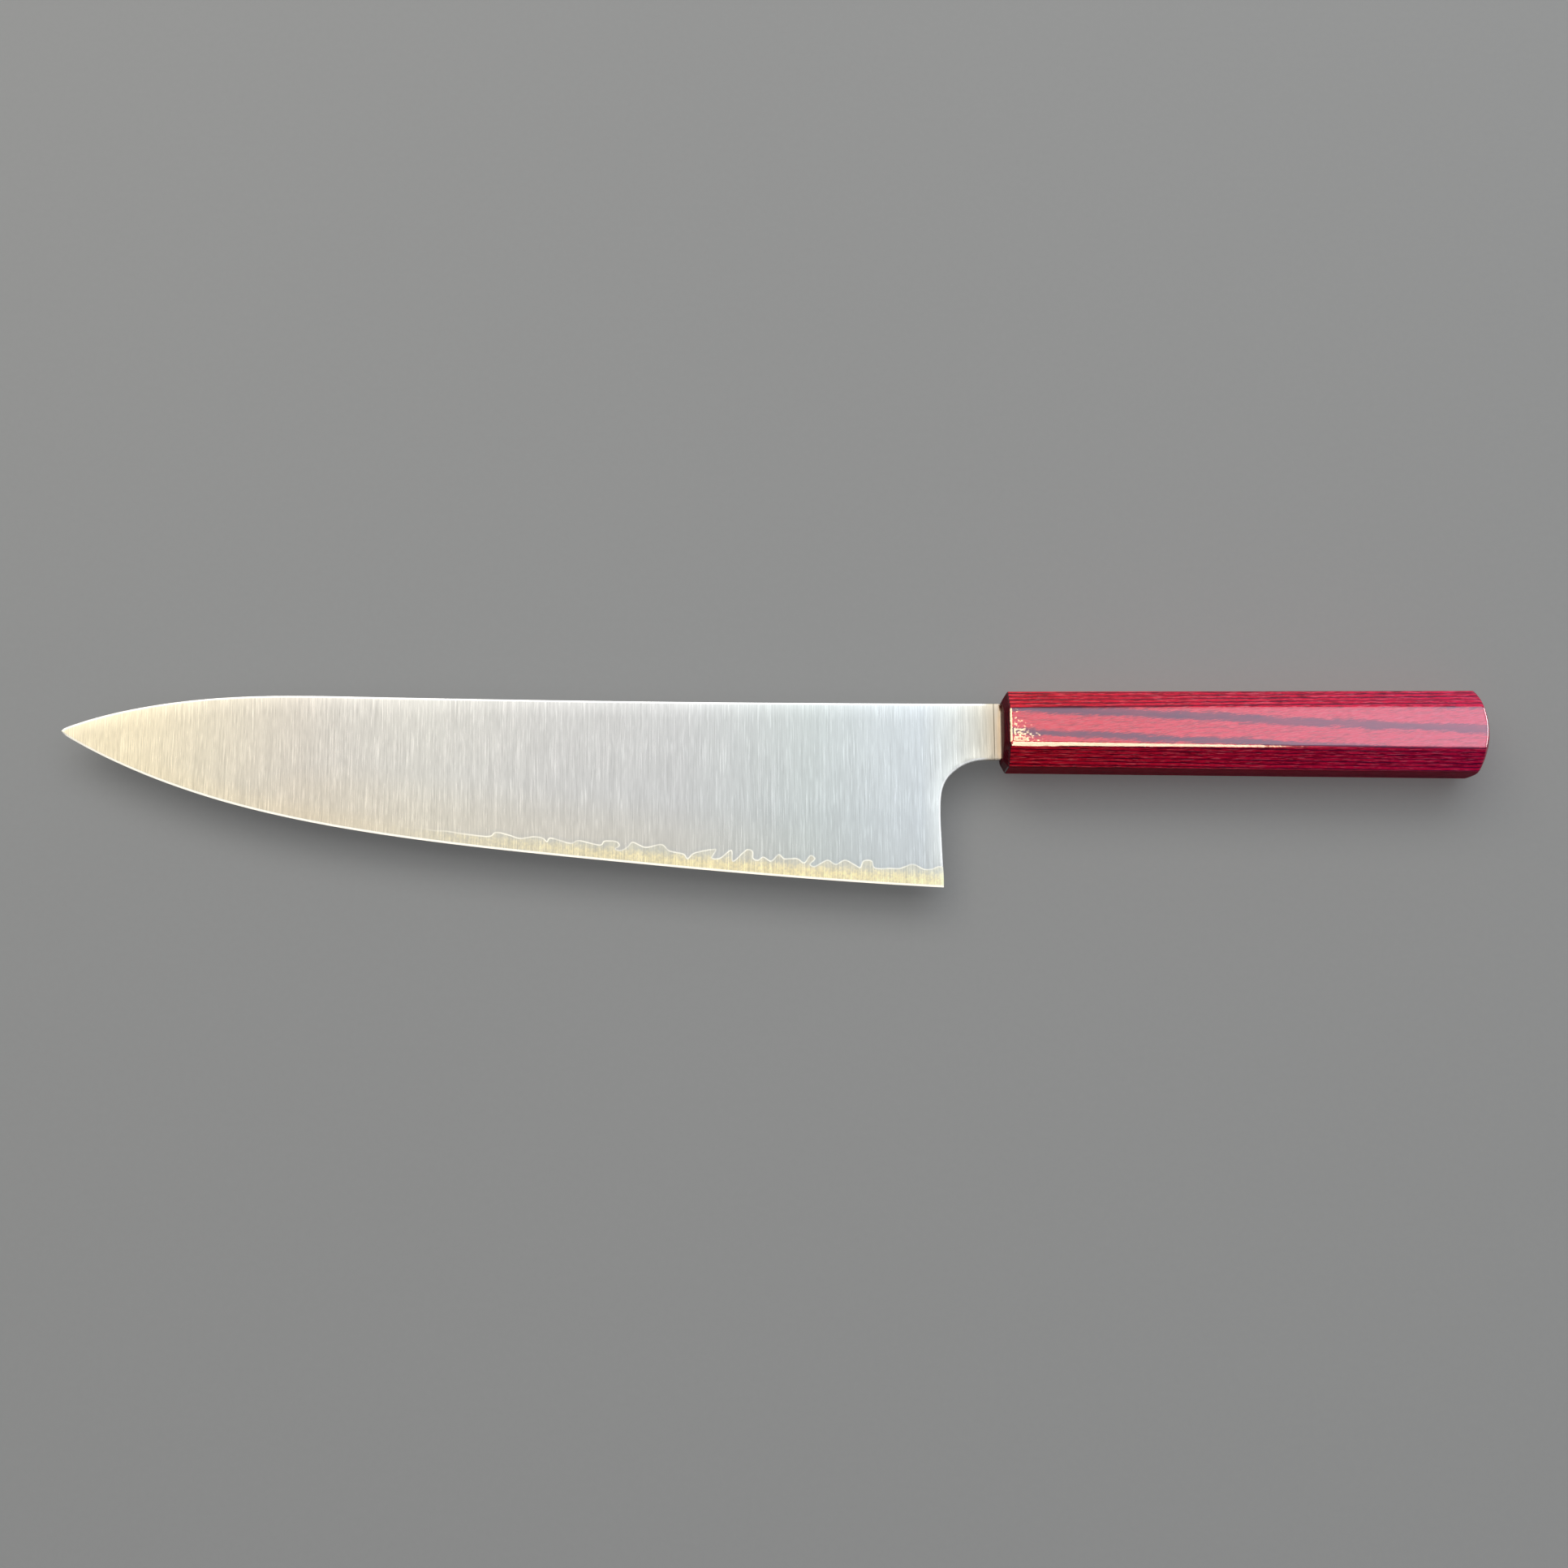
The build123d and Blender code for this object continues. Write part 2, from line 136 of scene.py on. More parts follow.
# start x, stop x, step
SPINE_STATIONS = [(0.0, -236.0, -1.4), (-236.0, -252.0, -0.8), (-252.0, -255.4, -0.35),
                  (-255.4, TIP_X, -0.12)]
EDGE_STATIONS = [(TIP_X, -252.0, 0.35), (-252.0, -236.0, 0.7), (-236.0, HEEL_X - 0.5, 1.3)]
CLADDING_ROWS, CLADDING_GRID = (0.32, 0.7, 1.2), 2.1     # rows beside the boundary, then grid
BAND_ROWS, BAND_GRID = (-0.32, -0.7, -1.15), 1.3
RIM_STEPS = 4


# ---------------------------------------------------------------------------
# Curves
# ---------------------------------------------------------------------------
def pchip(table):
    """Monotone cubic through a table of (x, y), as a vectorised function."""
    x, y = np.array(table, float).T
    gap = np.diff(x)
    rise = np.diff(y) / gap
    slope = np.zeros(len(x))
    slope[0], slope[-1] = rise[0], rise[-1]
    for i in range(1, len(x) - 1):
        if rise[i - 1] * rise[i] > 0:
            w1, w2 = 2 * gap[i] + gap[i - 1], gap[i] + 2 * gap[i - 1]
            slope[i] = (w1 + w2) / (w1 / rise[i - 1] + w2 / rise[i])

    def curve(q):
        q = np.asarray(q, float)
        i = np.clip(np.searchsorted(x, q, side="right") - 1, 0, len(gap) - 1)
        t = np.clip((q - x[i]) / gap[i], 0.0, 1.0)
        return ((1 + 2 * t) * (1 - t) ** 2 * y[i] + t * (1 - t) ** 2 * gap[i] * slope[i]
                + t * t * (3 - 2 * t) * y[i + 1] + t * t * (t - 1) * gap[i] * slope[i + 1])

    return curve


def catmull(points, step):
    """Centripetal Catmull-Rom through points, resampled at about step."""
    def blend(a, b, ta, tb, t):
        return (tb - t) / (tb - ta) * a + (t - ta) / (tb - ta) * b

    p = np.array(points, float)
    p = np.vstack([2 * p[0] - p[1], p, 2 * p[-1] - p[-2]])
    out = []
    for i in range(1, len(p) - 2):
        a, b, c, d = p[i - 1:i + 3]
        t0 = 0.0
        t1 = t0 + np.linalg.norm(b - a) ** 0.5
        t2 = t1 + np.linalg.norm(c - b) ** 0.5
        t3 = t2 + np.linalg.norm(d - c) ** 0.5
        count = max(2, int(math.ceil(np.linalg.norm(c - b) / step)))
        for t in np.linspace(t1, t2, count, endpoint=False):
            ab = blend(a, b, t0, t1, t)
            bc = blend(b, c, t1, t2, t)
            cd = blend(c, d, t2, t3, t)
            out.append(blend(blend(ab, bc, t0, t2, t), blend(bc, cd, t1, t3, t), t1, t2, t))
    out.append(p[-2])
    return np.array(out)


def resample(points, step):
    """Splits straight runs into pieces no longer than step."""
    p = np.array(points, float)
    out = [p[0]]
    for a, b in zip(p[:-1], p[1:]):
        count = max(1, int(math.ceil(np.linalg.norm(b - a) / step)))
        out += [a + (b - a) * k / count for k in range(1, count + 1)]
    return np.array(out)


def stations(table):
    return np.concatenate([np.arange(*row) for row in table])


edge_y = pchip(EDGE)
spine_y = pchip(SPINE)
taper = pchip(TAPER)


def half_thickness(x, y):
    return EDGE_HALF + taper(x) * (y - edge_y(x))


def core_half(x, y):
    return CORE_HALF + CORE_GROWTH * (y - edge_y(x))


def bevel_height(x):
    """The bevel shrinks where the blade is low, near the tip."""
    x = np.asarray(x, float)
    room = np.where(x < -200.0, spine_y(np.minimum(x, 0.0)) - edge_y(x), 50.0)
    return np.minimum(BEVEL_H, 0.35 * room)


def to_polyline(points, line, chunk=2000):
    """Distance from each point to a polyline."""
    start, run = line[:-1], line[1:] - line[:-1]
    length2 = (run ** 2).sum(1)
    out = np.empty(len(points))
    for s in range(0, len(points), chunk):
        rel = points[s:s + chunk][:, None, :] - start[None]
        t = np.clip((rel * run[None]).sum(2) / length2[None], 0, 1)
        gap = rel - t[..., None] * run[None]
        out[s:s + chunk] = np.sqrt((gap ** 2).sum(2).min(1))
    return out


def inside(points, poly, chunk=4000):
    """Even-odd test of points against a closed polygon."""
    x0, y0 = poly[:, 0], poly[:, 1]
    x1, y1 = np.roll(x0, -1), np.roll(y0, -1)
    out = np.zeros(len(points), bool)
    for s in range(0, len(points), chunk):
        px, py = points[s:s + chunk, 0][:, None], points[s:s + chunk, 1][:, None]
        crosses = (y0[None] > py) != (y1[None] > py)
        with np.errstate(divide="ignore", invalid="ignore"):
            xi = x0[None] + (py - y0[None]) * (x1 - x0)[None] / (y1 - y0)[None]
        out[s:s + chunk] = (crosses & (px < xi)).sum(1) % 2 == 1
    return out


# ---------------------------------------------------------------------------
# Blade outline and cladding boundaries
# ---------------------------------------------------------------------------
def arc(cx, cy, r, start, end, count):
    return np.array([(cx + r * math.cos(a), cy + r * math.sin(a))
                     for a in np.linspace(start, end, count)])


def tang_outline():
    """From the lower front corner round the tang's end to the upper front corner."""
    h0, h1 = TANG_H0 / 2, TANG_H1 / 2
    end_x = TANG_L - h1
    lower = resample([(0.0, TANG_Y - h0), (end_x, TANG_Y - h1)], TANG_STEP)
    upper = resample([(end_x, TANG_Y + h1), (0.0, TANG_Y + h0)], TANG_STEP)
    return np.vstack([lower[:-1], arc(end_x, TANG_Y, h1, -math.pi / 2, math.pi / 2, 13),
                      upper[1:]])


def wave_left():
    calm = pchip(CALM_LEFT)
    xs = np.arange(-255.8, -148.0, 3.1)
    wobble = 0.16 * np.sin(xs * 0.71) + 0.10 * np.sin(xs * 1.63 + 1.0)
    head = [(x, float(edge_y(x) + calm(x) + w)) for x, w in zip(xs, wobble)]
    return catmull(head + MEANDER_LEFT, BOUNDARY_STEP)


def wave_right():
    return catmull([(x, float(edge_y(x)) + h) for x, h in WAVE_RIGHT], BOUNDARY_STEP)


def start_on_spine(line):
    """Drops the part of a boundary that lies above the spine and starts it on the spine."""
    above = line[:, 1] > spine_y(np.clip(line[:, 0], TIP_X, 0)) - 1e-9
    k = int(np.nonzero(~above & (line[:, 0] > -256.0))[0][0])
    a, b = line[k - 1], line[k]
    lo, hi = 0.0, 1.0
    for _ in range(50):
        mid = (lo + hi) / 2
        q = a + (b - a) * mid
        if q[1] > spine_y(q[0]):
            lo = mid
        else:
            hi = mid
    q = a + (b - a) * hi
    q[1] = spine_y(q[0])
    return np.vstack([q[None], line[k:]])


def end_on_choil(line):
    rising = choil[:60]
    y = line[-1, 1]
    x = float(np.interp(y, rising[:, 1], rising[:, 0]))
    return np.vstack([line, resample([line[-1], (x, y)], BOUNDARY_STEP)[1:]])


def merge(points, extra, axis, gap, direction):
    """Adds points to a run in order along an axis, clearing those closer than gap."""
    for e in extra:
        points = points[np.abs(points[:, axis] - e[axis]) > gap]
    points = np.vstack([points, *extra])
    return points[np.argsort(direction * points[:, axis])]


choil = catmull(CHOIL, CHOIL_STEP)
spine_x = stations(SPINE_STATIONS)
spine = np.stack([spine_x, spine_y(spine_x)], 1)
neck_top = arc(-NECK_TOP_R, float(spine_y(-NECK_TOP_R)) - NECK_TOP_R, NECK_TOP_R,
               0.0, math.pi / 2, 6)
neck_low = arc(-NECK_LOW_R, CHOIL[-1][1] + NECK_LOW_R, NECK_LOW_R, -math.pi / 2, 0.0, 6)
choil = np.vstack([choil[choil[:, 0] < -0.50], neck_low])
spine = np.vstack([neck_top, spine[spine[:, 0] < -1.0]])

# cladding boundaries from tip to heel: 1 is the left side (+Z), -1 the right (-Z)
BOUNDARY = {1: end_on_choil(start_on_spine(wave_left())),
            -1: end_on_choil(start_on_spine(wave_right()))}

# the shoulder is the upper line of the edge bevel
heel_shoulder = np.array([HEEL_X, float(edge_y(HEEL_X) + bevel_height(HEEL_X))])
tip_shoulder = np.array([TIP_X, float(edge_y(TIP_X) + bevel_height(TIP_X))])
shoulder_x = stations(EDGE_STATIONS)
SHOULDER = np.stack([shoulder_x, edge_y(shoulder_x) + bevel_height(shoulder_x)], 1)
SHOULDER = np.vstack([tip_shoulder[None], SHOULDER[1:], heel_shoulder[None]])

# the outline runs from the heel shoulder up the choil, round the tang and along the spine to
# the tip shoulder, with a point where each boundary meets it
spine_end = [(TIP_X, SPINE[0][1])]
choil_low = choil[(choil[:, 1] > heel_shoulder[1] + 0.1) & (choil[:, 1] < THROAT_Y)]
choil_low = merge(choil_low, [b[-1] for b in BOUNDARY.values()], axis=1, gap=0.12, direction=1)
choil_high = choil[int(np.nonzero(choil[:, 1] >= THROAT_Y)[0][0]):]
spine_run = merge(spine, [b[0] for b in BOUNDARY.values()], axis=0, gap=0.06, direction=-1)
OUTLINE = np.vstack([heel_shoulder[None], choil_low, choil_high, tang_outline(), spine_run,
                     spine_end, tip_shoulder[None]])
spacing = np.linalg.norm(np.diff(OUTLINE, axis=0), axis=1)
OUTLINE = OUTLINE[np.append(True, spacing >= 1e-4)]


def junctions(boundary):
    """Outline indices where a boundary ends: at the heel, at the tip."""
    return [int(np.argmin(((OUTLINE - p) ** 2).sum(1))) for p in (boundary[-1], boundary[0])]


def inward_normals(line):
    d = np.roll(line, -1, 0) - np.roll(line, 1, 0)
    d[0], d[-1] = line[1] - line[0], line[-1] - line[-2]
    d /= np.linalg.norm(d, axis=1)[:, None]
    return np.stack([-d[:, 1], d[:, 0]], 1)


INWARD = inward_normals(OUTLINE)


# ---------------------------------------------------------------------------
# Mesh helpers
# ---------------------------------------------------------------------------
class MeshBuilder:
    """Collects points in millimetres and faces by index."""

    def __init__(self):
        self.points, self.faces = [], []

    def add(self, x, y, z):
        self.points.append((float(x), float(y), float(z)))
        return len(self.points) - 1

    def lay(self, xy, side, height):
        """Adds points on the surface z = side * height(x, y)."""
        zs = side * height(xy[:, 0], xy[:, 1])
        return [self.add(p[0], p[1], z) for p, z in zip(xy, zs)]

    def face(self, idx):
        """Adds a face, merging repeated neighbours and skipping what collapses."""
        out = []
        for i in idx:
            if not out or out[-1] != i:
                out.append(i)
        if len(out) > 1 and out[0] == out[-1]:
            out.pop()
        if len(set(out)) >= 3 and len(set(out)) == len(out):
            self.faces.append(out)

    def wall(self, a, b):
        """Joins two rows of equal length with quads."""
        for i in range(len(a) - 1):
            self.face([a[i], a[i + 1], b[i + 1], b[i]])

    def sheet(self, rim_xy, rim_idx, side, height, inner=np.zeros((0, 2))):
        """Triangulates the region inside a closed boundary whose points exist already."""
        count = len(rim_xy)
        flat = [Vector((float(a), float(b))) for a, b in np.vstack([rim_xy, inner])]
        made, _, tris, origin, _, _ = delaunay_2d_cdt(flat, [], [list(range(count))], 1, 1e-6)
        where = []
        for p, source in zip(made, origin):
            on_rim = [i for i in source if i < count]
            if on_rim:
                where.append(rim_idx[on_rim[0]])
            else:
                where.append(self.add(p[0], p[1], side * float(height(p[0], p[1]))))
        for tri in tris:
            self.face([where[i] for i in tri])

    def object(self, name):
        mesh = bpy.data.meshes.new(name)
        bm = bmesh.new()
        verts = [bm.verts.new((x * MM, y * MM, z * MM)) for x, y, z in self.points]
        for f in self.faces:
            try:
                bm.faces.new([verts[i] for i in f])
            except ValueError:
                pass  # guards against a face that exists already
        loose = [v for v in bm.verts if not v.link_faces]
        bmesh.ops.delete(bm, geom=loose, context="VERTS")
        bmesh.ops.recalc_face_normals(bm, faces=bm.faces[:])
        if bm.calc_volume(signed=True) < 0:
            bmesh.ops.reverse_faces(bm, faces=bm.faces[:])
        for f in bm.faces:
            f.smooth = True
        bm.to_mesh(mesh)
        bm.free()
        return link_object(name, mesh)


def link_object(name, mesh):
    obj = bpy.data.objects.new(name, mesh)
    bpy.context.scene.collection.objects.link(obj)
    return obj


def hexgrid(lo, hi, step):
    rows = []
    y = lo[1]
    while y < hi[1]:
        xs = np.arange(lo[0] + (step / 2 if len(rows) % 2 else 0), hi[0], step)
        rows.append(np.stack([xs, np.full(len(xs), y)], 1))
        y += step * 0.866
    return np.vstack(rows)


def line_offsets(line, distances):
    d = np.gradient(line, axis=0)
    d /= np.linalg.norm(d, axis=1)[:, None]
    normal = np.stack([-d[:, 1], d[:, 0]], 1)
    return np.vstack([line + normal * k for k in distances])


def fill_points(poly, line, rows, grid_step):
    """Interior points: rows beside the boundary line, then a hexagonal grid."""
    row_clear, cell_size, rim_clear = 0.22, 0.26, 0.16
    near = line_offsets(line, rows)
    near = near[inside(near, poly)]
    near = near[to_polyline(near, line) > row_clear]
    # one point per cell, which thins out rows that fold over each other
    cells = {}
    for p in near[np.lexsort((near[:, 1], near[:, 0]))]:
        cells.setdefault((int(p[0] / cell_size), int(p[1] / cell_size)), p)
    near = np.array(list(cells.values()))
    reach = max(abs(k) for k in rows)
    grid = hexgrid(poly.min(0), poly.max(0), grid_step)
    grid = grid[inside(grid, poly)]
    grid = grid[to_polyline(grid, line) > reach + grid_step * 0.35]
    points = np.vstack([near, grid])
    return points[to_polyline(points, np.vstack([poly, poly[:1]])) > rim_clear]


# ---------------------------------------------------------------------------
# Blade
# ---------------------------------------------------------------------------
def rim_rounding(heel, tip):
    """Rounding radius at each outline point, fading at the ends and zero inside the handle."""
    heel_fade, tip_fade, neck_fade = 1.5, 4.0, 0.5
    radius = np.zeros(len(OUTLINE))
    steps = np.linalg.norm(np.diff(OUTLINE, axis=0), axis=1)
    along = np.concatenate([[0], np.cumsum(steps)])
    for i in range(heel + 1, tip):
        x, y = OUTLINE[i]
        if x > -1e-6:
            continue
        base = RIM_R if y > 0 or x < -200 else RIM_R_CHOIL
        fade = min(1.0, (along[i] - along[heel]) / heel_fade,
                   (along[tip] - along[i]) / tip_fade, (0.0 - x) / neck_fade)
        room = 0.6 * float(half_thickness(x, y) - core_half(x, y))
        radius[i] = max(0.0, min(base * max(fade, 0.0), room))
    radius[radius < 0.01] = 0.0
    return radius


def cladding(name, side):
    m = MeshBuilder()
    boundary = BOUNDARY[side]
    heel, tip = junctions(boundary)
    span = slice(heel, tip + 1)
    outline, inward, radius = OUTLINE[span], INWARD[span], rim_rounding(heel, tip)[span]
    rings = []
    for k in range(RIM_STEPS + 1):
        turn = math.pi / 2 * k / RIM_STEPS
        ring = []
        for i, r in enumerate(radius):
            if r == 0.0 and k > 0:
                ring.append(rings[0][i])
                continue
            p = outline[i] + inward[i] * (r * (1 - math.sin(turn)))
            z = float(half_thickness(*p)) - r * (1 - math.cos(turn))
            ring.append(m.add(p[0], p[1], side * z))
        rings.append(ring)
    back = m.lay(outline, side, core_half)
    inner = boundary[1:-1]
    line_top = m.lay(inner, side, half_thickness)
    line_low = m.lay(inner, side, core_half)
    for k in range(RIM_STEPS):
        m.wall(rings[k + 1], rings[k])
    m.wall(back, rings[-1])
    m.wall([back[-1]] + line_low + [back[0]], [rings[0][-1]] + line_top + [rings[0][0]])
    face_xy = np.vstack([np.array([m.points[i][:2] for i in rings[0]]), inner])
    m.sheet(face_xy, rings[0] + line_top, side, half_thickness,
            fill_points(face_xy, boundary, CLADDING_ROWS, CLADDING_GRID))
    m.sheet(np.vstack([outline, inner]), back + line_low, side, core_half)
    return m.object(name)


def core_side(m, side):
    """One side of the core: the exposed band, the step at the boundary and the slab."""
    last = len(OUTLINE) - 1
    boundary = BOUNDARY[side]
    heel, tip = junctions(boundary)
    skin, slab = {}, {}     # points on the ground surface and under the cladding
    for i, (x, y) in enumerate(OUTLINE):
        if i <= heel or i >= tip:
            skin[i] = m.add(x, y, side * float(half_thickness(x, y)))
        if heel <= i <= tip:
            slab[i] = m.add(x, y, side * float(core_half(x, y)))
    inner = boundary[1:-1]
    line_top = m.lay(inner, side, half_thickness)
    line_low = m.lay(inner, side, core_half)
    shoulder = [skin[last]] + m.lay(SHOULDER[1:-1], side, half_thickness) + [skin[0]]
    m.wall([slab[tip]] + line_low + [slab[heel]], [skin[tip]] + line_top + [skin[heel]])
    band_xy = np.vstack([SHOULDER[:-1], OUTLINE[:heel + 1], inner[::-1], OUTLINE[tip:last]])
    band = (shoulder[:-1] + [skin[i] for i in range(heel + 1)] + line_top[::-1]
            + [skin[i] for i in range(tip, last)])
    m.sheet(band_xy, band, side, half_thickness,
            fill_points(band_xy, boundary, BAND_ROWS, BAND_GRID))
    m.sheet(np.vstack([OUTLINE[heel:tip + 1], inner]),
            [slab[i] for i in range(heel, tip + 1)] + line_low, side, core_half)
    return heel, tip, skin, slab, shoulder


def core(name):
    m = MeshBuilder()
    parts = {side: core_side(m, side) for side in (1, -1)}
    last = len(OUTLINE) - 1
    # the rim between the two sides
    for i in range(last):
        columns = []
        for j in (i, i + 1):
            column = []
            for side, (heel, tip, skin, slab, _) in parts.items():
                if i >= heel and i + 1 <= tip:
                    nodes = [slab[j]]
                else:
                    nodes = [skin[j]] + ([slab[j]] if j in slab else [])
                column += nodes[::side]
            columns.append(column)
        m.face(columns[0] + columns[1][::-1])
    apex = [m.add(x, edge_y(x), 0.0) for x in SHOULDER[:, 0]]
    for side in (1, -1):
        m.wall(parts[side][4], apex)
    for a, corner in ((apex[0], last), (apex[-1], 0)):
        m.face([parts[1][2][corner], a, parts[-1][2][corner]])
    return m.object(name)


def read_points(mesh):
    co = np.zeros(len(mesh.vertices) * 3, np.float32)
    mesh.vertices.foreach_get("co", co)
    return co


def blade_attributes(obj):
    """Signed distance to the cladding boundary and distances to the edge and the rim."""
    co = read_points(obj.data).reshape(-1, 3).astype(float) / MM
    left = co[:, 2] >= 0
    d_line = np.empty(len(co))
    for chosen, line in ((left, BOUNDARY[1]), (~left, BOUNDARY[-1])):
        q = co[chosen][:, :2]
        d = to_polyline(q, line)
        edge_region = np.vstack([line, [(-10.0, line[-1, 1]), (-10.0, -80.0),
                                        (-270.0, -80.0), (-270.0, line[0, 1])]])
        d_line[chosen] = np.where(inside(q, edge_region), -d, d)
    rim = np.vstack([choil, spine, spine_end])
    for key, values in (("d_line", d_line), ("d_edge", co[:, 1] - edge_y(co[:, 0])),
                        ("d_rim", to_polyline(co[:, :2], rim))):
        attribute = obj.data.attributes.new(key, "FLOAT", "POINT")
        attribute.data.foreach_set("value", values.astype(np.float32))


blade_core = core("blade_core_ground")
cladding_left = cladding("cladding_left_ground", 1)
cladding_right = cladding("cladding_right_ground", -1)
blade = (blade_core, cladding_left, cladding_right)
# piece, CAD piece, slot, angle in degrees above which an edge is sharp
for obj, cad, slot, sharp in ((blade_core, "blade_core", "core_steel", 9.0),
                              (cladding_left, "cladding_left", "cladding_steel", 35.0),
                              (cladding_right, "cladding_right", "cladding_steel", 35.0)):
    blade_attributes(obj)
    obj.data.set_sharp_from_angle(angle=math.radians(sharp))
    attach(obj, "root")
    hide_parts(cad)

# ---------------------------------------------------------------------------
# Handle: one smooth convex body, then cut into its veneers
# ---------------------------------------------------------------------------
GROWTH = SWELL / HANDLE_L
_run, _drop = HALF_H0 - FLAT0, HALF_T - SIDE_HALF
_slant = math.hypot(_run, _drop)
DIAG_Y, DIAG_Z = _drop / _slant, _run / _slant     # normal of the four slanting facets
DIAG_C = DIAG_Y * FLAT0 + DIAG_Z * HALF_T
DIAG_GROWTH = DIAG_Y * GROWTH
# normal, offset from the axis at x = 0, growth of the offset per mm
FACETS = [((0, 0, 1), HALF_T, 0.0), ((0, 0, -1), HALF_T, 0.0),
          ((0, 1, 0), HALF_H0, GROWTH), ((0, -1, 0), HALF_H0, GROWTH),
          ((0, DIAG_Y, DIAG_Z), DIAG_C, DIAG_GROWTH), ((0, DIAG_Y, -DIAG_Z), DIAG_C, DIAG_GROWTH),
          ((0, -DIAG_Y, DIAG_Z), DIAG_C, DIAG_GROWTH),
          ((0, -DIAG_Y, -DIAG_Z), DIAG_C, DIAG_GROWTH)]
LONG_SOFT, FRONT_SOFT, DOME_SOFT = 0.337, 0.26, 0.5     # softness of the meeting edges
DOME_X = HANDLE_L - BUTT_R
# bounding planes as normal, offset, softness: the facets, the front, the front chamfers
PLANES = [(np.array([-growth, n[1], n[2]], float), c, LONG_SOFT) for n, c, growth in FACETS]
PLANES.append((np.array([-1.0, 0, 0]), 0.0, FRONT_SOFT))
_lean = FRONT_IN / FRONT_BACK
_length = math.hypot(1.0, _lean)
PLANES += [(np.array([-_lean, n[1], n[2]], float) / _length, (c - FRONT_IN) / _length, FRONT_SOFT)
           for n, c, _ in FACETS]
UPPER_FLAT, UPPER_LOW_SLANT, UPPER_FRONT_CHAMFER = 0, 6, 9     # places in PLANES


def soften(k, x):
    """The -Y edge of the upper flat and the flat's front edge are rounder, most at the front."""
    near = 1.0 - np.clip(x / 62.0, 0.0, 1.0)
    near = near * near * (3 - 2 * near)
    if k in (UPPER_FLAT, UPPER_LOW_SLANT):
        return 1.0 + 0.75 * near
    if k == UPPER_FRONT_CHAMFER:
        return np.full(len(x), 2.1)
    return np.ones(len(x))


def plane_terms(p):
    """For each plane: its normal, its softness and how strongly it acts at the points."""
    for k, (n, c, soft) in enumerate(PLANES):
        soft = soft * soften(k, p[:, 0])
        yield n, soft, np.maximum(1 + (p @ n - c) / soft, 0)


def dome_term(p):
    """Offset from the dome's centre, its length, and how strongly the dome acts."""
    q = p - np.array([DOME_X, 0, 0])
    q[:, 0] = np.maximum(q[:, 0], 0)
    length = np.linalg.norm(q, axis=1)
    return q, length, np.maximum(1 + (length - BUTT_R) / DOME_SOFT, 0)


def field(p):
    """1 on the handle's skin, below 1 inside."""
    total = np.zeros(len(p))
    for _, _, pull in plane_terms(p):
        total += pull ** 2
    total += dome_term(p)[2] ** 2
    return np.sqrt(total)


def field_normal(p):
    g = np.zeros_like(p)
    for n, soft, pull in plane_terms(p):
        g += (pull / soft)[:, None] * n[None]
    q, length, pull = dome_term(p)
    g += (pull / DOME_SOFT)[:, None] * q / np.maximum(length, 1e-9)[:, None]
    return g / np.maximum(np.linalg.norm(g, axis=1), 1e-9)[:, None]


def corners(x, inset=0.0):
    """The octagon's corners (y, z) at a station."""
    grown = GROWTH * x
    t, h = HALF_T - inset, HALF_H0 + grown - inset
    c = DIAG_C + DIAG_Y * grown - inset
    flat = (c - DIAG_Z * t) / DIAG_Y
    side = (c - DIAG_Y * h) / DIAG_Z
    return np.array([(flat, t), (h, side), (h, -side), (flat, -t),
                     (-flat, -t), (-h, -side), (-h, side), (-flat, t)])


CORNER_GAPS = (0.0, 0.09, 0.18, 0.28, 0.4, 0.55, 0.8, 1.1)     # mm from a corner
FACET_SHARES = (0.2, 0.35, 0.5, 0.65, 0.8)                     # shares of a facet's width
# Stations of the handle's rings
CAP_SHARES = (0.3, 0.6, 0.8, 0.9, 0.95, 0.98)                  # out from the front's centre
CHAMFER_SHARES = (0.0, 0.08, 0.18, 0.32, 0.5, 0.68, 0.82, 0.92)
HEAD_GAPS = (0.0, 0.1, 0.22, 0.38, 0.6, 0.9, 1.4, 2.2, 3.4, 5.0)     # mm behind the chamfer
MID_STATIONS = np.arange(8.0, 124.0, 2.0)
TAIL_GAPS = (4.2, 3.2, 2.4, 1.7, 1.15, 0.8, 0.55, 0.36, 0.2, 0.08)   # mm before the dome
DOME_SHARES = (0.0, 0.012, 0.028, 0.05, 0.08, 0.12, 0.18, 0.27, 0.38, 0.5, 0.63, 0.76, 0.88)


def perimeter(octagon):
    """Points round the octagon, closer together at its corners."""
    out = []
    for a, b in zip(octagon, np.roll(octagon, -1, 0)):
        width = np.linalg.norm(b - a)
        unit = (b - a) / width
        gaps = (list(CORNER_GAPS) + [width * q for q in FACET_SHARES]
                + [width - d for d in CORNER_GAPS[:0:-1]])
        out += [a + unit * d for d in gaps]
    return np.array(out)


